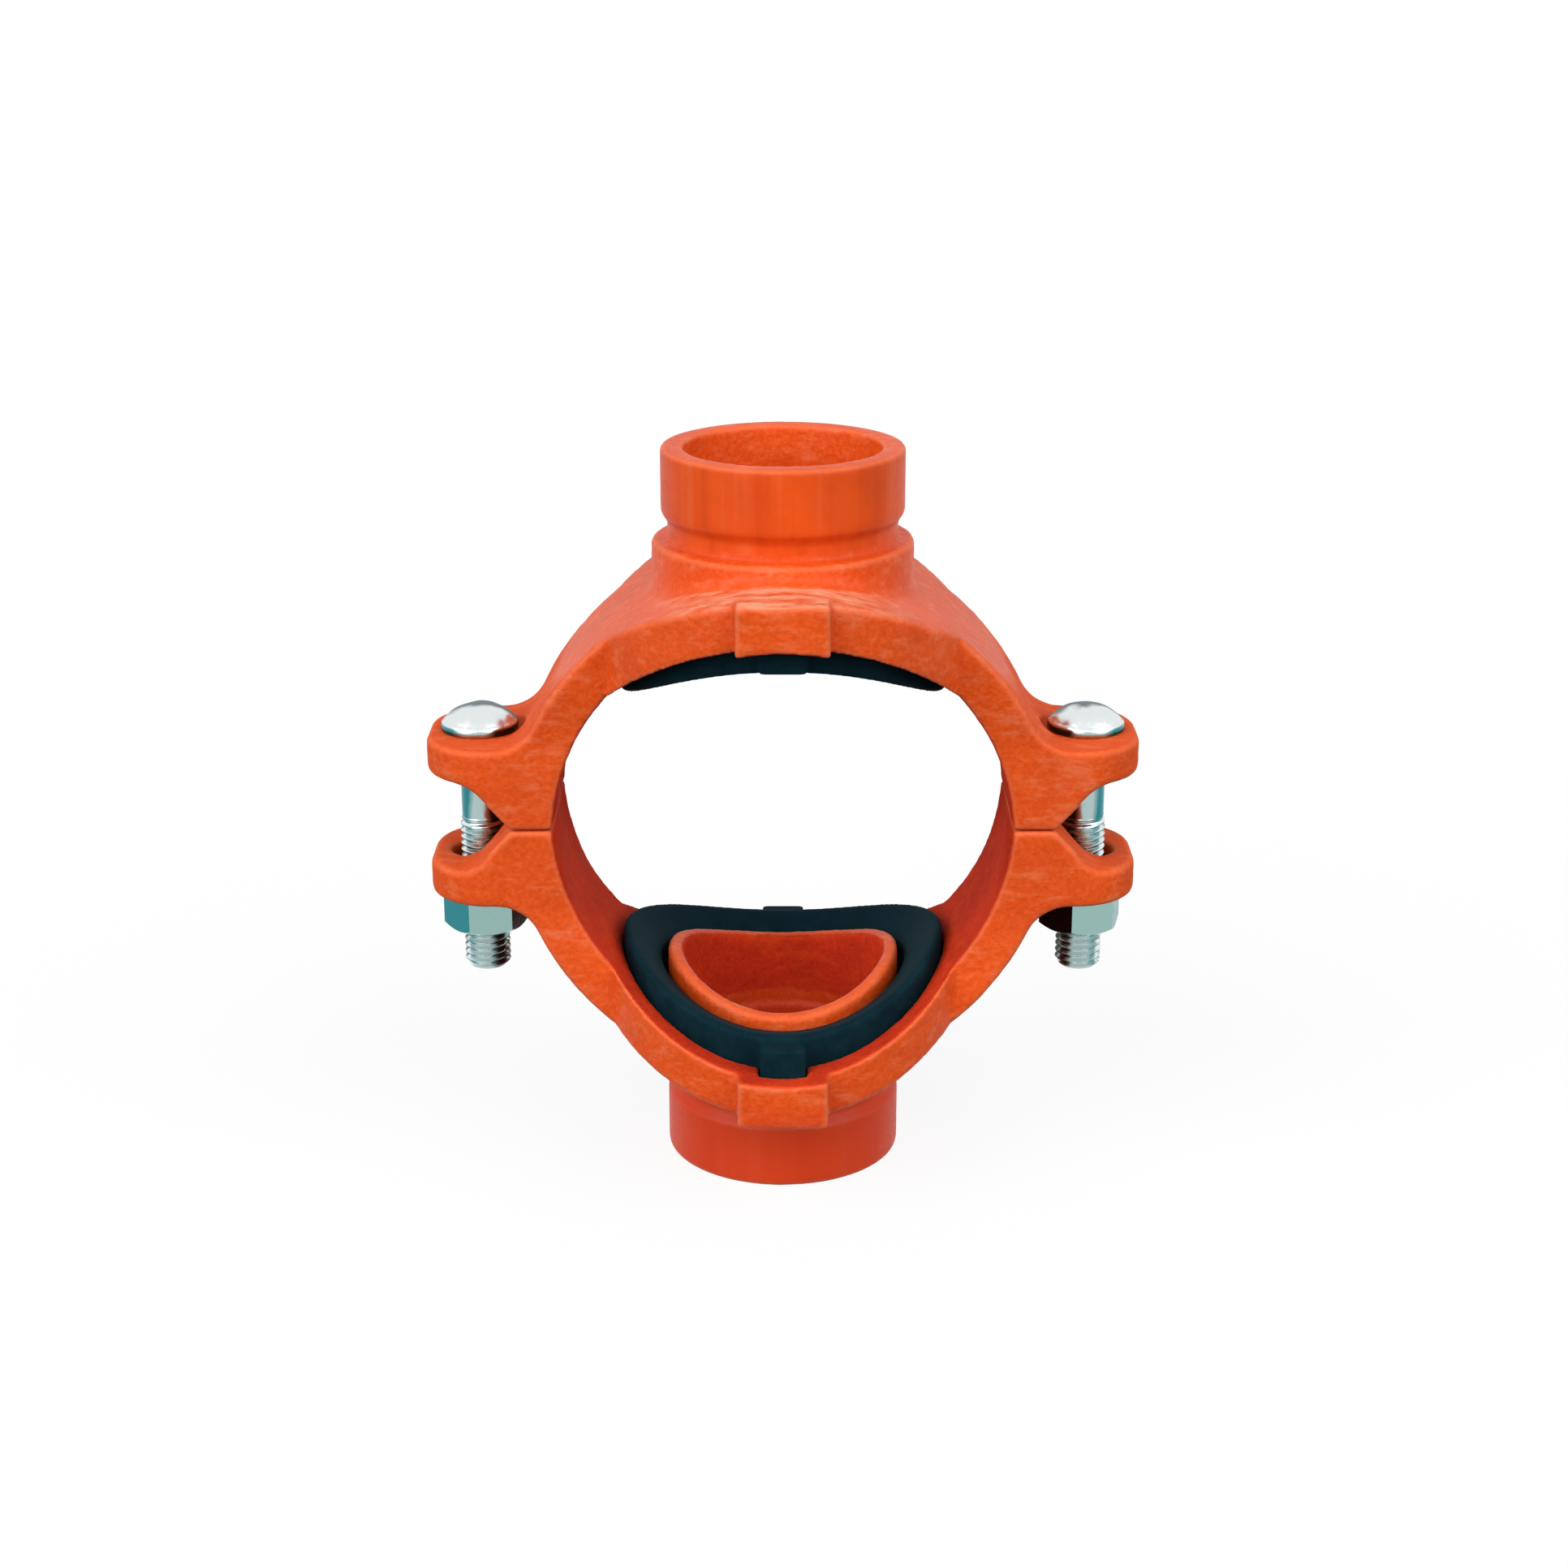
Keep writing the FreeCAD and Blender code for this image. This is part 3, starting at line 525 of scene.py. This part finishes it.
# Black rubber with a cool cast: satin, with a dusting of mould release that lifts it here and
# there, and a fine skin like orange peel.
rubber, tree, output = new_material("moulded_rubber")
place = add_node(tree, "ShaderNodeTexCoord").outputs["Object"]
flow = add_node(
    tree,
    "ShaderNodeTexNoise",
    inputs={"Vector": place, "Scale": 1 / FLOW_SPACING, "Detail": 4, "Roughness": 0.65},
)
skin = add_node(
    tree,
    "ShaderNodeTexNoise",
    inputs={"Vector": place, "Scale": 1 / SKIN_SPACING, "Detail": 2},
)
dust_share = add_node(
    tree,
    "ShaderNodeMapRange",
    inputs={"Value": flow.outputs["Fac"], "From Min": 0.4, "From Max": 0.75, "To Max": 0.5},
)
tint = add_node(
    tree,
    "ShaderNodeMix",
    {"data_type": "RGBA"},
    {0: dust_share.outputs[0], 6: linear(RUBBER), 7: linear(RUBBER_DUSTY)},
)
satin = add_node(
    tree,
    "ShaderNodeMapRange",
    inputs={"Value": flow.outputs["Fac"], "From Min": 0.3, "From Max": 0.7,
            "To Min": 0.58, "To Max": 0.74},
)
skin_bump = add_node(
    tree,
    "ShaderNodeBump",
    inputs={"Height": skin.outputs["Fac"], "Strength": 0.3, "Distance": SKIN_BUMP},
)
shader = add_node(
    tree,
    "ShaderNodeBsdfPrincipled",
    inputs={"Base Color": tint.outputs[2], "Roughness": satin.outputs[0],
            "Normal": skin_bump.outputs[0], "IOR": RUBBER_IOR,
            "Specular IOR Level": RUBBER_REFLECTION},
)
tree.links.new(shader.outputs[0], output.inputs[0])

make_gasket("lower_gasket", "lower_rubber", "lower_half", REAR_LIFT)
make_gasket("upper_gasket", "upper_rubber", "upper_half", rear_lift=0)


# The two track bolts: cold-headed steel with a low domed head and an oval neck that keeps the
# bolt from turning in the lug, a rolled M12 thread, and bright zinc plating.
PITCH = 1.75 * MM
COLUMNS = 72
BOLT_X = 76.7 * MM
SEAT = 20.5 * MM
THREAD_RADIUS = 5.85 * MM
THREAD_DEPTH = 1.02 * MM
RUN_OUT = 1.6 * PITCH
END_CHAMFER = 1.25 * MM
SHANK_RADIUS = 5.35 * MM
SHANK_HOLLOW = 0.3 * MM
THREAD_LENGTH = 41.5 * MM
BOLT_LENGTH = 64.0 * MM
HEAD_RADIUS = 9.8 * MM
HEAD_HEIGHT = 6.8 * MM
HEAD_RIM = 1.8 * MM
RIM_ROUND = 0.55 * MM
DOME_STEPS = 14
NECK_RADIUS = 6.15 * MM
NECK_HALF_LENGTH = 7.85 * MM
NECK_LENGTH = 8.0 * MM
NECK_EDGE = 0.5 * MM

# Where a thread is cut level, how near the cut its points are to count as on it: for the cut
# itself, and for the rings of edges that it leaves.
ON_CUT = 0.0001 * MM
ON_RING = 0.001 * MM

# The plain shank's skin ends this far above the thread's, and the two are joined.
THREAD_JOIN = 1 * MM

# The shallow dents of cold heading in the domes: how wide, how deep where the pattern is at its
# lowest, and how much of the pattern they leave out.
DENT_SIZE = 5.5 * MM
DENT_DEPTH = 0.4 * MM
DENT_SPARED = 0.3

# The pale zinc is a painted highlight on the domes.
ZINC_DOME_HIGHLIGHT = "#E2E8E8"
ZINC_SIDE = "#AEC2C1"
# The sea-green is partly the passivation film and partly a painted reflection.
ZINC_TEAL = "#127F88"
# A painted reflection of the dark castings, on the sides towards them.
ZINC_DARK_REFLECTION = "#14181E"
# A painted dark reflection along the back of each dome.
ZINC_EDGE_REFLECTION = "#2B4D57"
TINT_SPACING = 8 * MM
# Rubbing leaves marks well under a millimetre, drawn coarser so that they show.
RUB_SPACING = 1.2 * MM
RUB_BUMP = 0.06 * MM

# The thread's form over one turn: how far round the pitch, and how deep as a share of the
# full depth, from the crest through the root and back.
THREAD_FORM = [
    (0.00, 0.0), (0.12, 0.0), (0.20, 0.18), (0.38, 0.86), (0.46, 1.0),
    (0.66, 1.0), (0.74, 0.86), (0.92, 0.18),
]


def add_helix(solid, low, high, radius_at):
    """A threaded skin between two heights, cut level at both. Returns its two edge rings.

    Its turns start at a whole number of pitches from the seat, so two such threads match.
    """
    base = (math.floor(low / PITCH) - 1) * PITCH
    turns = math.ceil((high - base) / PITCH) + 1
    steps = turns * COLUMNS
    strands = []
    for share, depth in THREAD_FORM:
        strand = []
        for step in range(steps + COLUMNS + 1):
            angle = math.tau * step / COLUMNS
            height = base + PITCH * (share + step / COLUMNS)
            radius = radius_at(depth, height)
            place = (radius * math.cos(angle), radius * math.sin(angle), height)
            strand.append(solid.verts.new(place))
        strands.append(strand)
    for first, second in zip(strands, strands[1:]):
        for step in range(steps):
            solid.faces.new((first[step], first[step + 1], second[step + 1], second[step]))
    for step in range(steps - COLUMNS):
        after = step + COLUMNS
        corners = (strands[-1][step], strands[-1][step + 1],
                   strands[0][after + 1], strands[0][after])
        solid.faces.new(corners)
    for height, direction in ((low, (0, 0, -1)), (high, (0, 0, 1))):
        everything = solid.verts[:] + solid.edges[:] + solid.faces[:]
        bmesh.ops.bisect_plane(
            solid, geom=everything, dist=ON_CUT, plane_co=(0, 0, height),
            plane_no=direction, clear_outer=True,
        )
    loose = [vert for vert in solid.verts if not vert.link_faces]
    bmesh.ops.delete(solid, geom=loose, context="VERTS")
    rings = []
    for height in (low, high):
        rings.append([
            edge for edge in solid.edges
            if edge.is_boundary
            and all(abs(vert.co.z - height) < ON_RING for vert in edge.verts)
        ])
    return rings


def add_loft(solid, outlines):
    """Rings of points joined one to the next. Returns the first and last ring of edges."""
    rings = [[solid.verts.new(point) for point in outline] for outline in outlines]
    columns = len(rings[0])
    for upper, lower in zip(rings, rings[1:]):
        for column in range(columns):
            after = (column + 1) % columns
            solid.faces.new((upper[column], upper[after], lower[after], lower[column]))
    ends = []
    for ring in (rings[0], rings[-1]):
        ends.append([
            solid.edges.get((ring[column], ring[(column + 1) % columns]))
            for column in range(columns)
        ])
    return ends


def circle(radius, height):
    return [
        (radius * math.cos(math.tau * column / COLUMNS),
         radius * math.sin(math.tau * column / COLUMNS), height)
        for column in range(COLUMNS)
    ]


def oval(radius, half_length, height):
    """A slot's outline, long across X."""
    points = []
    for column in range(COLUMNS):
        angle = math.tau * column / COLUMNS
        shift = math.copysign(half_length - radius, math.cos(angle))
        points.append((radius * math.cos(angle) + shift, radius * math.sin(angle), height))
    return points


def bolt_thread_radius(depth, height):
    """The thread runs out into the shank at its top and is chamfered at its end."""
    start = THREAD_LENGTH - BOLT_LENGTH
    fade = min(1, max(0, (start - height) / RUN_OUT))
    full = THREAD_RADIUS - depth * THREAD_DEPTH
    chamfer = THREAD_RADIUS - END_CHAMFER + (height + BOLT_LENGTH)
    return min(SHANK_RADIUS + fade * (full - SHANK_RADIUS), chamfer)


def finish_metal(solid, name, x, finish, sharp):
    """A plated piece in its place, from a closed skin. Edges over this many degrees stay sharp."""
    mesh = bpy.data.meshes.new(name)
    bmesh.ops.recalc_face_normals(solid, faces=solid.faces)
    solid.to_mesh(mesh)
    solid.free()
    piece = bpy.data.objects.new(name, mesh)
    for vert in mesh.vertices:
        vert.co += Vector((x, 0, SEAT))
    bpy.context.scene.collection.objects.link(piece)
    mesh.materials.append(finish)
    mesh.shade_smooth()
    mesh.set_sharp_from_angle(angle=math.radians(sharp))
    return piece


def make_bolt(node, name, x):
    """One bolt, drawn down from the seat under its head."""
    solid = bmesh.new()
    thread_top = THREAD_LENGTH - BOLT_LENGTH
    bottom, top = add_helix(solid, -BOLT_LENGTH, thread_top, bolt_thread_radius)
    bmesh.ops.contextual_create(solid, geom=bottom)

    # From the crown over the rounded rim to the oval neck, and down the shank.
    dome = HEAD_HEIGHT - HEAD_RIM
    dome_radius = (HEAD_RADIUS**2 + dome**2) / (2 * dome)
    outlines = []
    widest = math.asin((HEAD_RADIUS - RIM_ROUND) / dome_radius)
    for step in range(1, DOME_STEPS + 1):
        angle = widest * step / DOME_STEPS
        radius = dome_radius * math.sin(angle)
        outlines.append(circle(radius, HEAD_HEIGHT - dome_radius * (1 - math.cos(angle))))
    rim_top = outlines[-1][0][2]
    for degrees in (22.5, 45, 67.5, 90):
        angle = math.radians(degrees)
        drop = (rim_top - RIM_ROUND) * (1 - math.cos(angle))
        radius = HEAD_RADIUS - RIM_ROUND * (1 - math.sin(angle))
        outlines.append(circle(radius, rim_top - drop))
    for degrees in (30, 60, 90):
        angle = math.radians(degrees)
        radius = HEAD_RADIUS - RIM_ROUND * (1 - math.cos(angle))
        outlines.append(circle(radius, RIM_ROUND * (1 - math.sin(angle))))
    outlines.append(oval(NECK_RADIUS, NECK_HALF_LENGTH, 0))
    outlines.append(oval(NECK_RADIUS, NECK_HALF_LENGTH, -NECK_LENGTH + NECK_EDGE))
    outlines.append(oval(NECK_RADIUS - NECK_EDGE, NECK_HALF_LENGTH - NECK_EDGE, -NECK_LENGTH))
    outlines.append(circle(SHANK_RADIUS + SHANK_HOLLOW, -NECK_LENGTH))
    outlines.append(circle(SHANK_RADIUS, -NECK_LENGTH - SHANK_HOLLOW))
    outlines.append(circle(SHANK_RADIUS, thread_top + THREAD_JOIN))
    crown, end = add_loft(solid, outlines)

    for vert in solid.verts:
        if vert.co.z > RIM_ROUND:
            share = min(1, (vert.co.z - RIM_ROUND) / DENT_SIZE)
            dent = noise.noise(vert.co / DENT_SIZE + Vector((x / MM, 0, 0))) - DENT_SPARED
            vert.co.z += min(0, dent * DENT_DEPTH) * share
    bmesh.ops.contextual_create(solid, geom=crown)
    bmesh.ops.bridge_loops(solid, edges=top + end)
    piece = finish_metal(solid, name, x, zinc, sharp=40)
    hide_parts(node)
    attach(piece, "upper_half")


# Bright zinc with a blue passivation film: a clean metal shine, slightly rubbed. The domes are
# palest, a painted highlight. The sides facing outwards carry a sea-green tint, partly the film
# and partly a painted reflection; the sides towards the castings are darkened with painted
# reflection of the castings' shade, and a dark edge of painted reflection runs along the back of
# each dome.
def plated_steel(name, side_colour):
    material, tree, output = new_material(name)
    place = add_node(tree, "ShaderNodeTexCoord")

    # Which way a place faces: up, or outwards from the middle, with an uneven shift of the tints.
    spot = add_node(tree, "ShaderNodeSeparateXYZ", inputs={0: place.outputs["Object"]})
    facing = add_node(tree, "ShaderNodeSeparateXYZ", inputs={0: place.outputs["Normal"]})
    side = add_node(tree, "ShaderNodeMath", {"operation": "SIGN"}, {0: spot.outputs["X"]})
    uneven = add_node(
        tree,
        "ShaderNodeTexNoise",
        inputs={"Vector": place.outputs["Object"], "Scale": 1 / TINT_SPACING, "Detail": 3},
    )
    shift = add_node(
        tree,
        "ShaderNodeMapRange",
        {"clamp": False},
        {"Value": uneven.outputs["Fac"], "To Min": -0.25, "To Max": 0.25},
    )
    dome_highlight_share = add_node(
        tree,
        "ShaderNodeMapRange",
        inputs={"Value": facing.outputs["Z"], "From Min": 0.2, "From Max": 0.55},
    )
    outward = add_node(
        tree,
        "ShaderNodeMath",
        {"operation": "MULTIPLY_ADD"},
        {0: facing.outputs["X"], 1: side.outputs[0], 2: shift.outputs[0]},
    )

    # The sides: sea-green where they face out and to the front, partly the film and partly a
    # painted reflection, and dark with painted reflection towards the castings.
    outward_teal = add_node(
        tree,
        "ShaderNodeMapRange",
        inputs={"Value": outward.outputs[0], "From Min": 0.32, "From Max": 0.64, "To Max": 0.96},
    )
    front_teal = add_node(
        tree,
        "ShaderNodeMapRange",
        inputs={"Value": facing.outputs["Y"], "From Min": 0.3, "From Max": -0.1,
                "To Min": 0.25},
    )
    teal_film_and_reflection = add_node(
        tree,
        "ShaderNodeMath",
        {"operation": "MULTIPLY"},
        {0: outward_teal.outputs[0], 1: front_teal.outputs[0]},
    )
    dark_reflection_share = add_node(
        tree,
        "ShaderNodeMapRange",
        inputs={"Value": outward.outputs[0], "From Min": -0.28, "From Max": -0.5, "To Max": 0.94},
    )
    teal_tinted = add_node(
        tree,
        "ShaderNodeMix",
        {"data_type": "RGBA"},
        {0: teal_film_and_reflection.outputs[0], 6: linear(side_colour), 7: linear(ZINC_TEAL)},
    )
    sides = add_node(
        tree,
        "ShaderNodeMix",
        {"data_type": "RGBA"},
        {0: dark_reflection_share.outputs[0], 6: teal_tinted.outputs[2], 7: linear(ZINC_DARK_REFLECTION)},
    )

    # The domes: bright with a painted highlight, and an uneven dark edge of painted reflection
    # along their backs, where the metal is also made less metallic.
    across = add_node(
        tree, "ShaderNodeMath", {"operation": "ABSOLUTE"}, {0: facing.outputs["X"]}
    )
    behind = add_node(
        tree,
        "ShaderNodeMath",
        {"operation": "MULTIPLY_ADD"},
        {0: across.outputs[0], 1: -0.3, 2: facing.outputs["Y"]},
    )
    uneven_behind = add_node(
        tree,
        "ShaderNodeMath",
        {"operation": "MULTIPLY_ADD"},
        {0: shift.outputs[0], 1: 1.3, 2: behind.outputs[0]},
    )
    edge_reflection_share = add_node(
        tree,
        "ShaderNodeMapRange",
        inputs={"Value": uneven_behind.outputs[0], "From Min": -0.3, "From Max": -0.12,
                "To Max": 0.85},
    )
    dome = add_node(
        tree,
        "ShaderNodeMix",
        {"data_type": "RGBA"},
        {0: edge_reflection_share.outputs[0], 6: linear(ZINC_DOME_HIGHLIGHT), 7: linear(ZINC_EDGE_REFLECTION)},
    )
    dark_edge_reflection = add_node(
        tree,
        "ShaderNodeMath",
        {"operation": "MULTIPLY"},
        {0: edge_reflection_share.outputs[0], 1: dome_highlight_share.outputs[0]},
    )
    metal_share = add_node(
        tree,
        "ShaderNodeMapRange",
        inputs={"Value": dark_edge_reflection.outputs[0], "To Min": 1.0, "To Max": 0.1},
    )
    plate = add_node(
        tree,
        "ShaderNodeMix",
        {"data_type": "RGBA"},
        {0: dome_highlight_share.outputs[0], 6: sides.outputs[2], 7: dome.outputs[2]},
    )

    # The polish: faint rub marks, duller in the dark edge of painted reflection.
    rub = add_node(
        tree,
        "ShaderNodeTexNoise",
        inputs={"Vector": place.outputs["Object"], "Scale": 1 / RUB_SPACING, "Detail": 3},
    )
    shine = add_node(
        tree,
        "ShaderNodeMapRange",
        inputs={"Value": rub.outputs["Fac"], "From Min": 0.3, "From Max": 0.7,
                "To Min": 0.16, "To Max": 0.3},
    )
    dulled = add_node(
        tree,
        "ShaderNodeMath",
        {"operation": "MULTIPLY_ADD"},
        {0: dark_edge_reflection.outputs[0], 1: 0.4, 2: shine.outputs[0]},
    )
    rub_bump = add_node(
        tree,
        "ShaderNodeBump",
        inputs={"Height": rub.outputs["Fac"], "Strength": 0.2, "Distance": RUB_BUMP},
    )
    shader = add_node(
        tree,
        "ShaderNodeBsdfPrincipled",
        inputs={"Base Color": plate.outputs[2], "Metallic": metal_share.outputs[0],
                "Roughness": dulled.outputs[0], "Normal": rub_bump.outputs[0]},
    )
    tree.links.new(shader.outputs[0], output.inputs[0])
    return material


zinc = plated_steel("zinc_plated_steel", ZINC_SIDE)

make_bolt("left_bolt", "left_track_bolt", -BOLT_X)
make_bolt("right_bolt", "right_track_bolt", BOLT_X)


# The two hexagon nuts: cold-formed steel with the same plating, chamfered at both faces, and
# tapped with the bolts' thread, which they stay in step with as they turn.
NUT_WIDTH = 19.0 * MM
NUT_HEIGHT = 12.0 * MM
NUT_FACE_RADIUS = 9.1 * MM
NUT_CHAMFER_SLOPE = 0.7
NUT_SPLAY = 6.5 * MM
NUT_MOUTH = NUT_SPLAY + 0.4 * MM
THREAD_PLAY = 0.06 * MM
NUT_EDGE = 0.28 * MM
NUT_SHARP = 30
# Where a flat's outline has points: in degrees round from the flat's middle.
SIDE_ANGLES = [-30, -26, -20, -12, -4, 4, 12, 20, 26]

# The nuts' film is thicker and greener on every side than the bolts'.
NUT_ZINC = "#96B8B2"

nut_zinc = plated_steel("zinc_plated_nut", NUT_ZINC)


def make_nut(node, name, body, x, turn):
    """One nut. Its hexagon's corners are turned by this many degrees from the X axis."""
    solid = bmesh.new()
    lowest = -SEAT - NUT_HEIGHT

    def bore_radius(depth, height):
        """The bolt's thread with a little play, splayed at both faces."""
        thread = THREAD_RADIUS + THREAD_PLAY - depth * THREAD_DEPTH
        to_face = min(height - (lowest - SEAT), -2 * SEAT - height)
        return max(thread, NUT_SPLAY - max(0, to_face))

    def outline(radius_limit, upper):
        """The hexagon cut off at a radius, lying on the chamfer of its upper or lower face."""
        points = []
        for side in range(6):
            middle_of_flat = turn + 30 + 60 * side
            for off_flat in SIDE_ANGLES:
                radius = min(NUT_WIDTH / 2 / math.cos(math.radians(off_flat)), radius_limit)
                drop = max(0, radius - NUT_FACE_RADIUS) * NUT_CHAMFER_SLOPE
                height = -2 * SEAT - drop if upper else lowest - SEAT + drop
                angle = math.radians(middle_of_flat + off_flat)
                points.append((radius * math.cos(angle), radius * math.sin(angle), height))
        return points

    bottom, top = add_helix(solid, lowest - SEAT, -2 * SEAT, bore_radius)
    thread_edges = set(solid.edges)
    shapes = [(NUT_MOUTH, True), (NUT_FACE_RADIUS, True), (NUT_WIDTH, True),
              (NUT_WIDTH, False), (NUT_FACE_RADIUS, False), (NUT_MOUTH, False)]
    add_loft(solid, [outline(limit, upper) for limit, upper in shapes])
    corners = [
        edge for edge in solid.edges
        if edge not in thread_edges
        and len(edge.link_faces) == 2
        and edge.calc_face_angle() > math.radians(NUT_SHARP)
    ]
    bmesh.ops.bevel(
        solid, geom=corners, offset=NUT_EDGE, segments=3, profile=0.5, affect="EDGES"
    )
    rims = [edge for edge in solid.edges if edge.is_boundary and edge not in thread_edges]
    middle = -2 * SEAT - NUT_HEIGHT / 2
    upper_rim = [edge for edge in rims if edge.verts[0].co.z > middle]
    lower_rim = [edge for edge in rims if edge.verts[0].co.z < middle]
    bmesh.ops.bridge_loops(solid, edges=top + upper_rim)
    bmesh.ops.bridge_loops(solid, edges=bottom + lower_rim)
    piece = finish_metal(solid, name, x, nut_zinc, sharp=25)
    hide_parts(node)
    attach(piece, body)


make_nut("left_nut", "left_hex_nut", "left_nut", -BOLT_X, turn=11.8)
make_nut("right_nut", "right_hex_nut", "right_nut", BOLT_X, turn=14.8)


# The ground it is photographed on: a plain white sheet, which takes a soft shadow. It throws
# little light back up, as a sheet does that stands well below what is photographed on it.
FLOOR_HALF = 14.0
WHITE = "#FFFFFF"
FLOOR_BOUNCE = "#3C3C3C"
FLOOR_GLOW = 0.88

floor_mesh = bpy.data.meshes.new("floor")
floor_height = cad_box[0].z
corners = [(-FLOOR_HALF, -FLOOR_HALF), (FLOOR_HALF, -FLOOR_HALF),
           (FLOOR_HALF, FLOOR_HALF), (-FLOOR_HALF, FLOOR_HALF)]
floor_mesh.from_pydata([(x, y, floor_height) for x, y in corners], [], [(0, 1, 2, 3)])
floor = bpy.data.objects.new("floor", floor_mesh)
bpy.context.scene.collection.objects.link(floor)


def seen_directly(tree):
    """One for rays from the camera and for reflections and refractions, else nothing."""
    path = add_node(tree, "ShaderNodeLightPath")
    seen = path.outputs["Is Camera Ray"]
    for ray in ("Is Glossy Ray", "Is Transmission Ray"):
        both = add_node(
            tree, "ShaderNodeMath", {"operation": "MAXIMUM"}, {0: seen, 1: path.outputs[ray]}
        )
        seen = both.outputs[0]
    return seen


# White paper: matt and even. It shows white to the camera and in the metal's reflections, with
# the object's shadow on it, and throws only a little light.
paper, tree, output = new_material("white_paper")
bounce = add_node(tree, "ShaderNodeBsdfDiffuse", inputs={"Color": linear(FLOOR_BOUNCE)})
sheet = add_node(tree, "ShaderNodeBsdfDiffuse", inputs={"Color": linear(WHITE)})
glow = add_node(tree, "ShaderNodeEmission", inputs={"Color": linear(WHITE)})
lit_sheet = add_node(
    tree,
    "ShaderNodeMixShader",
    inputs={0: FLOOR_GLOW, 1: sheet.outputs[0], 2: glow.outputs[0]},
)
shown = add_node(
    tree,
    "ShaderNodeMixShader",
    inputs={0: seen_directly(tree), 1: bounce.outputs[0], 2: lit_sheet.outputs[0]},
)
tree.links.new(shown.outputs[0], output.inputs[0])
floor_mesh.materials.append(paper)


# The light: two large soft lamps in front, one to each side and the left one stronger, and an
# even white room, which lights the shaded sides a little.
LAMP_SPREAD = 60
ROOM_LIGHT = 0.28
ROOM_SEEN = 1.0


def add_lamp(name, strength, elevation, azimuth):
    lamp = bpy.data.objects.new(name, bpy.data.lights.new(name, "SUN"))
    lamp.data.energy = strength
    lamp.data.angle = math.radians(LAMP_SPREAD)
    lamp.rotation_euler = (math.radians(90 - elevation), 0, math.radians(azimuth))
    bpy.context.scene.collection.objects.link(lamp)


add_lamp("left_softbox", strength=2.5, elevation=31, azimuth=-46)
add_lamp("right_softbox", strength=1.92, elevation=33, azimuth=50)

world = bpy.data.worlds.new("studio")
bpy.context.scene.world = world
world.use_nodes = True
tree = world.node_tree
tree.nodes.clear()
strength = add_node(
    tree,
    "ShaderNodeMapRange",
    inputs={"Value": seen_directly(tree), "To Min": ROOM_LIGHT, "To Max": ROOM_SEEN},
)
room = add_node(
    tree,
    "ShaderNodeBackground",
    inputs={"Color": linear(WHITE), "Strength": strength.outputs[0]},
)
add_node(tree, "ShaderNodeOutputWorld", inputs={"Surface": room.outputs[0]})

bpy.context.scene.view_settings.view_transform = "Standard"
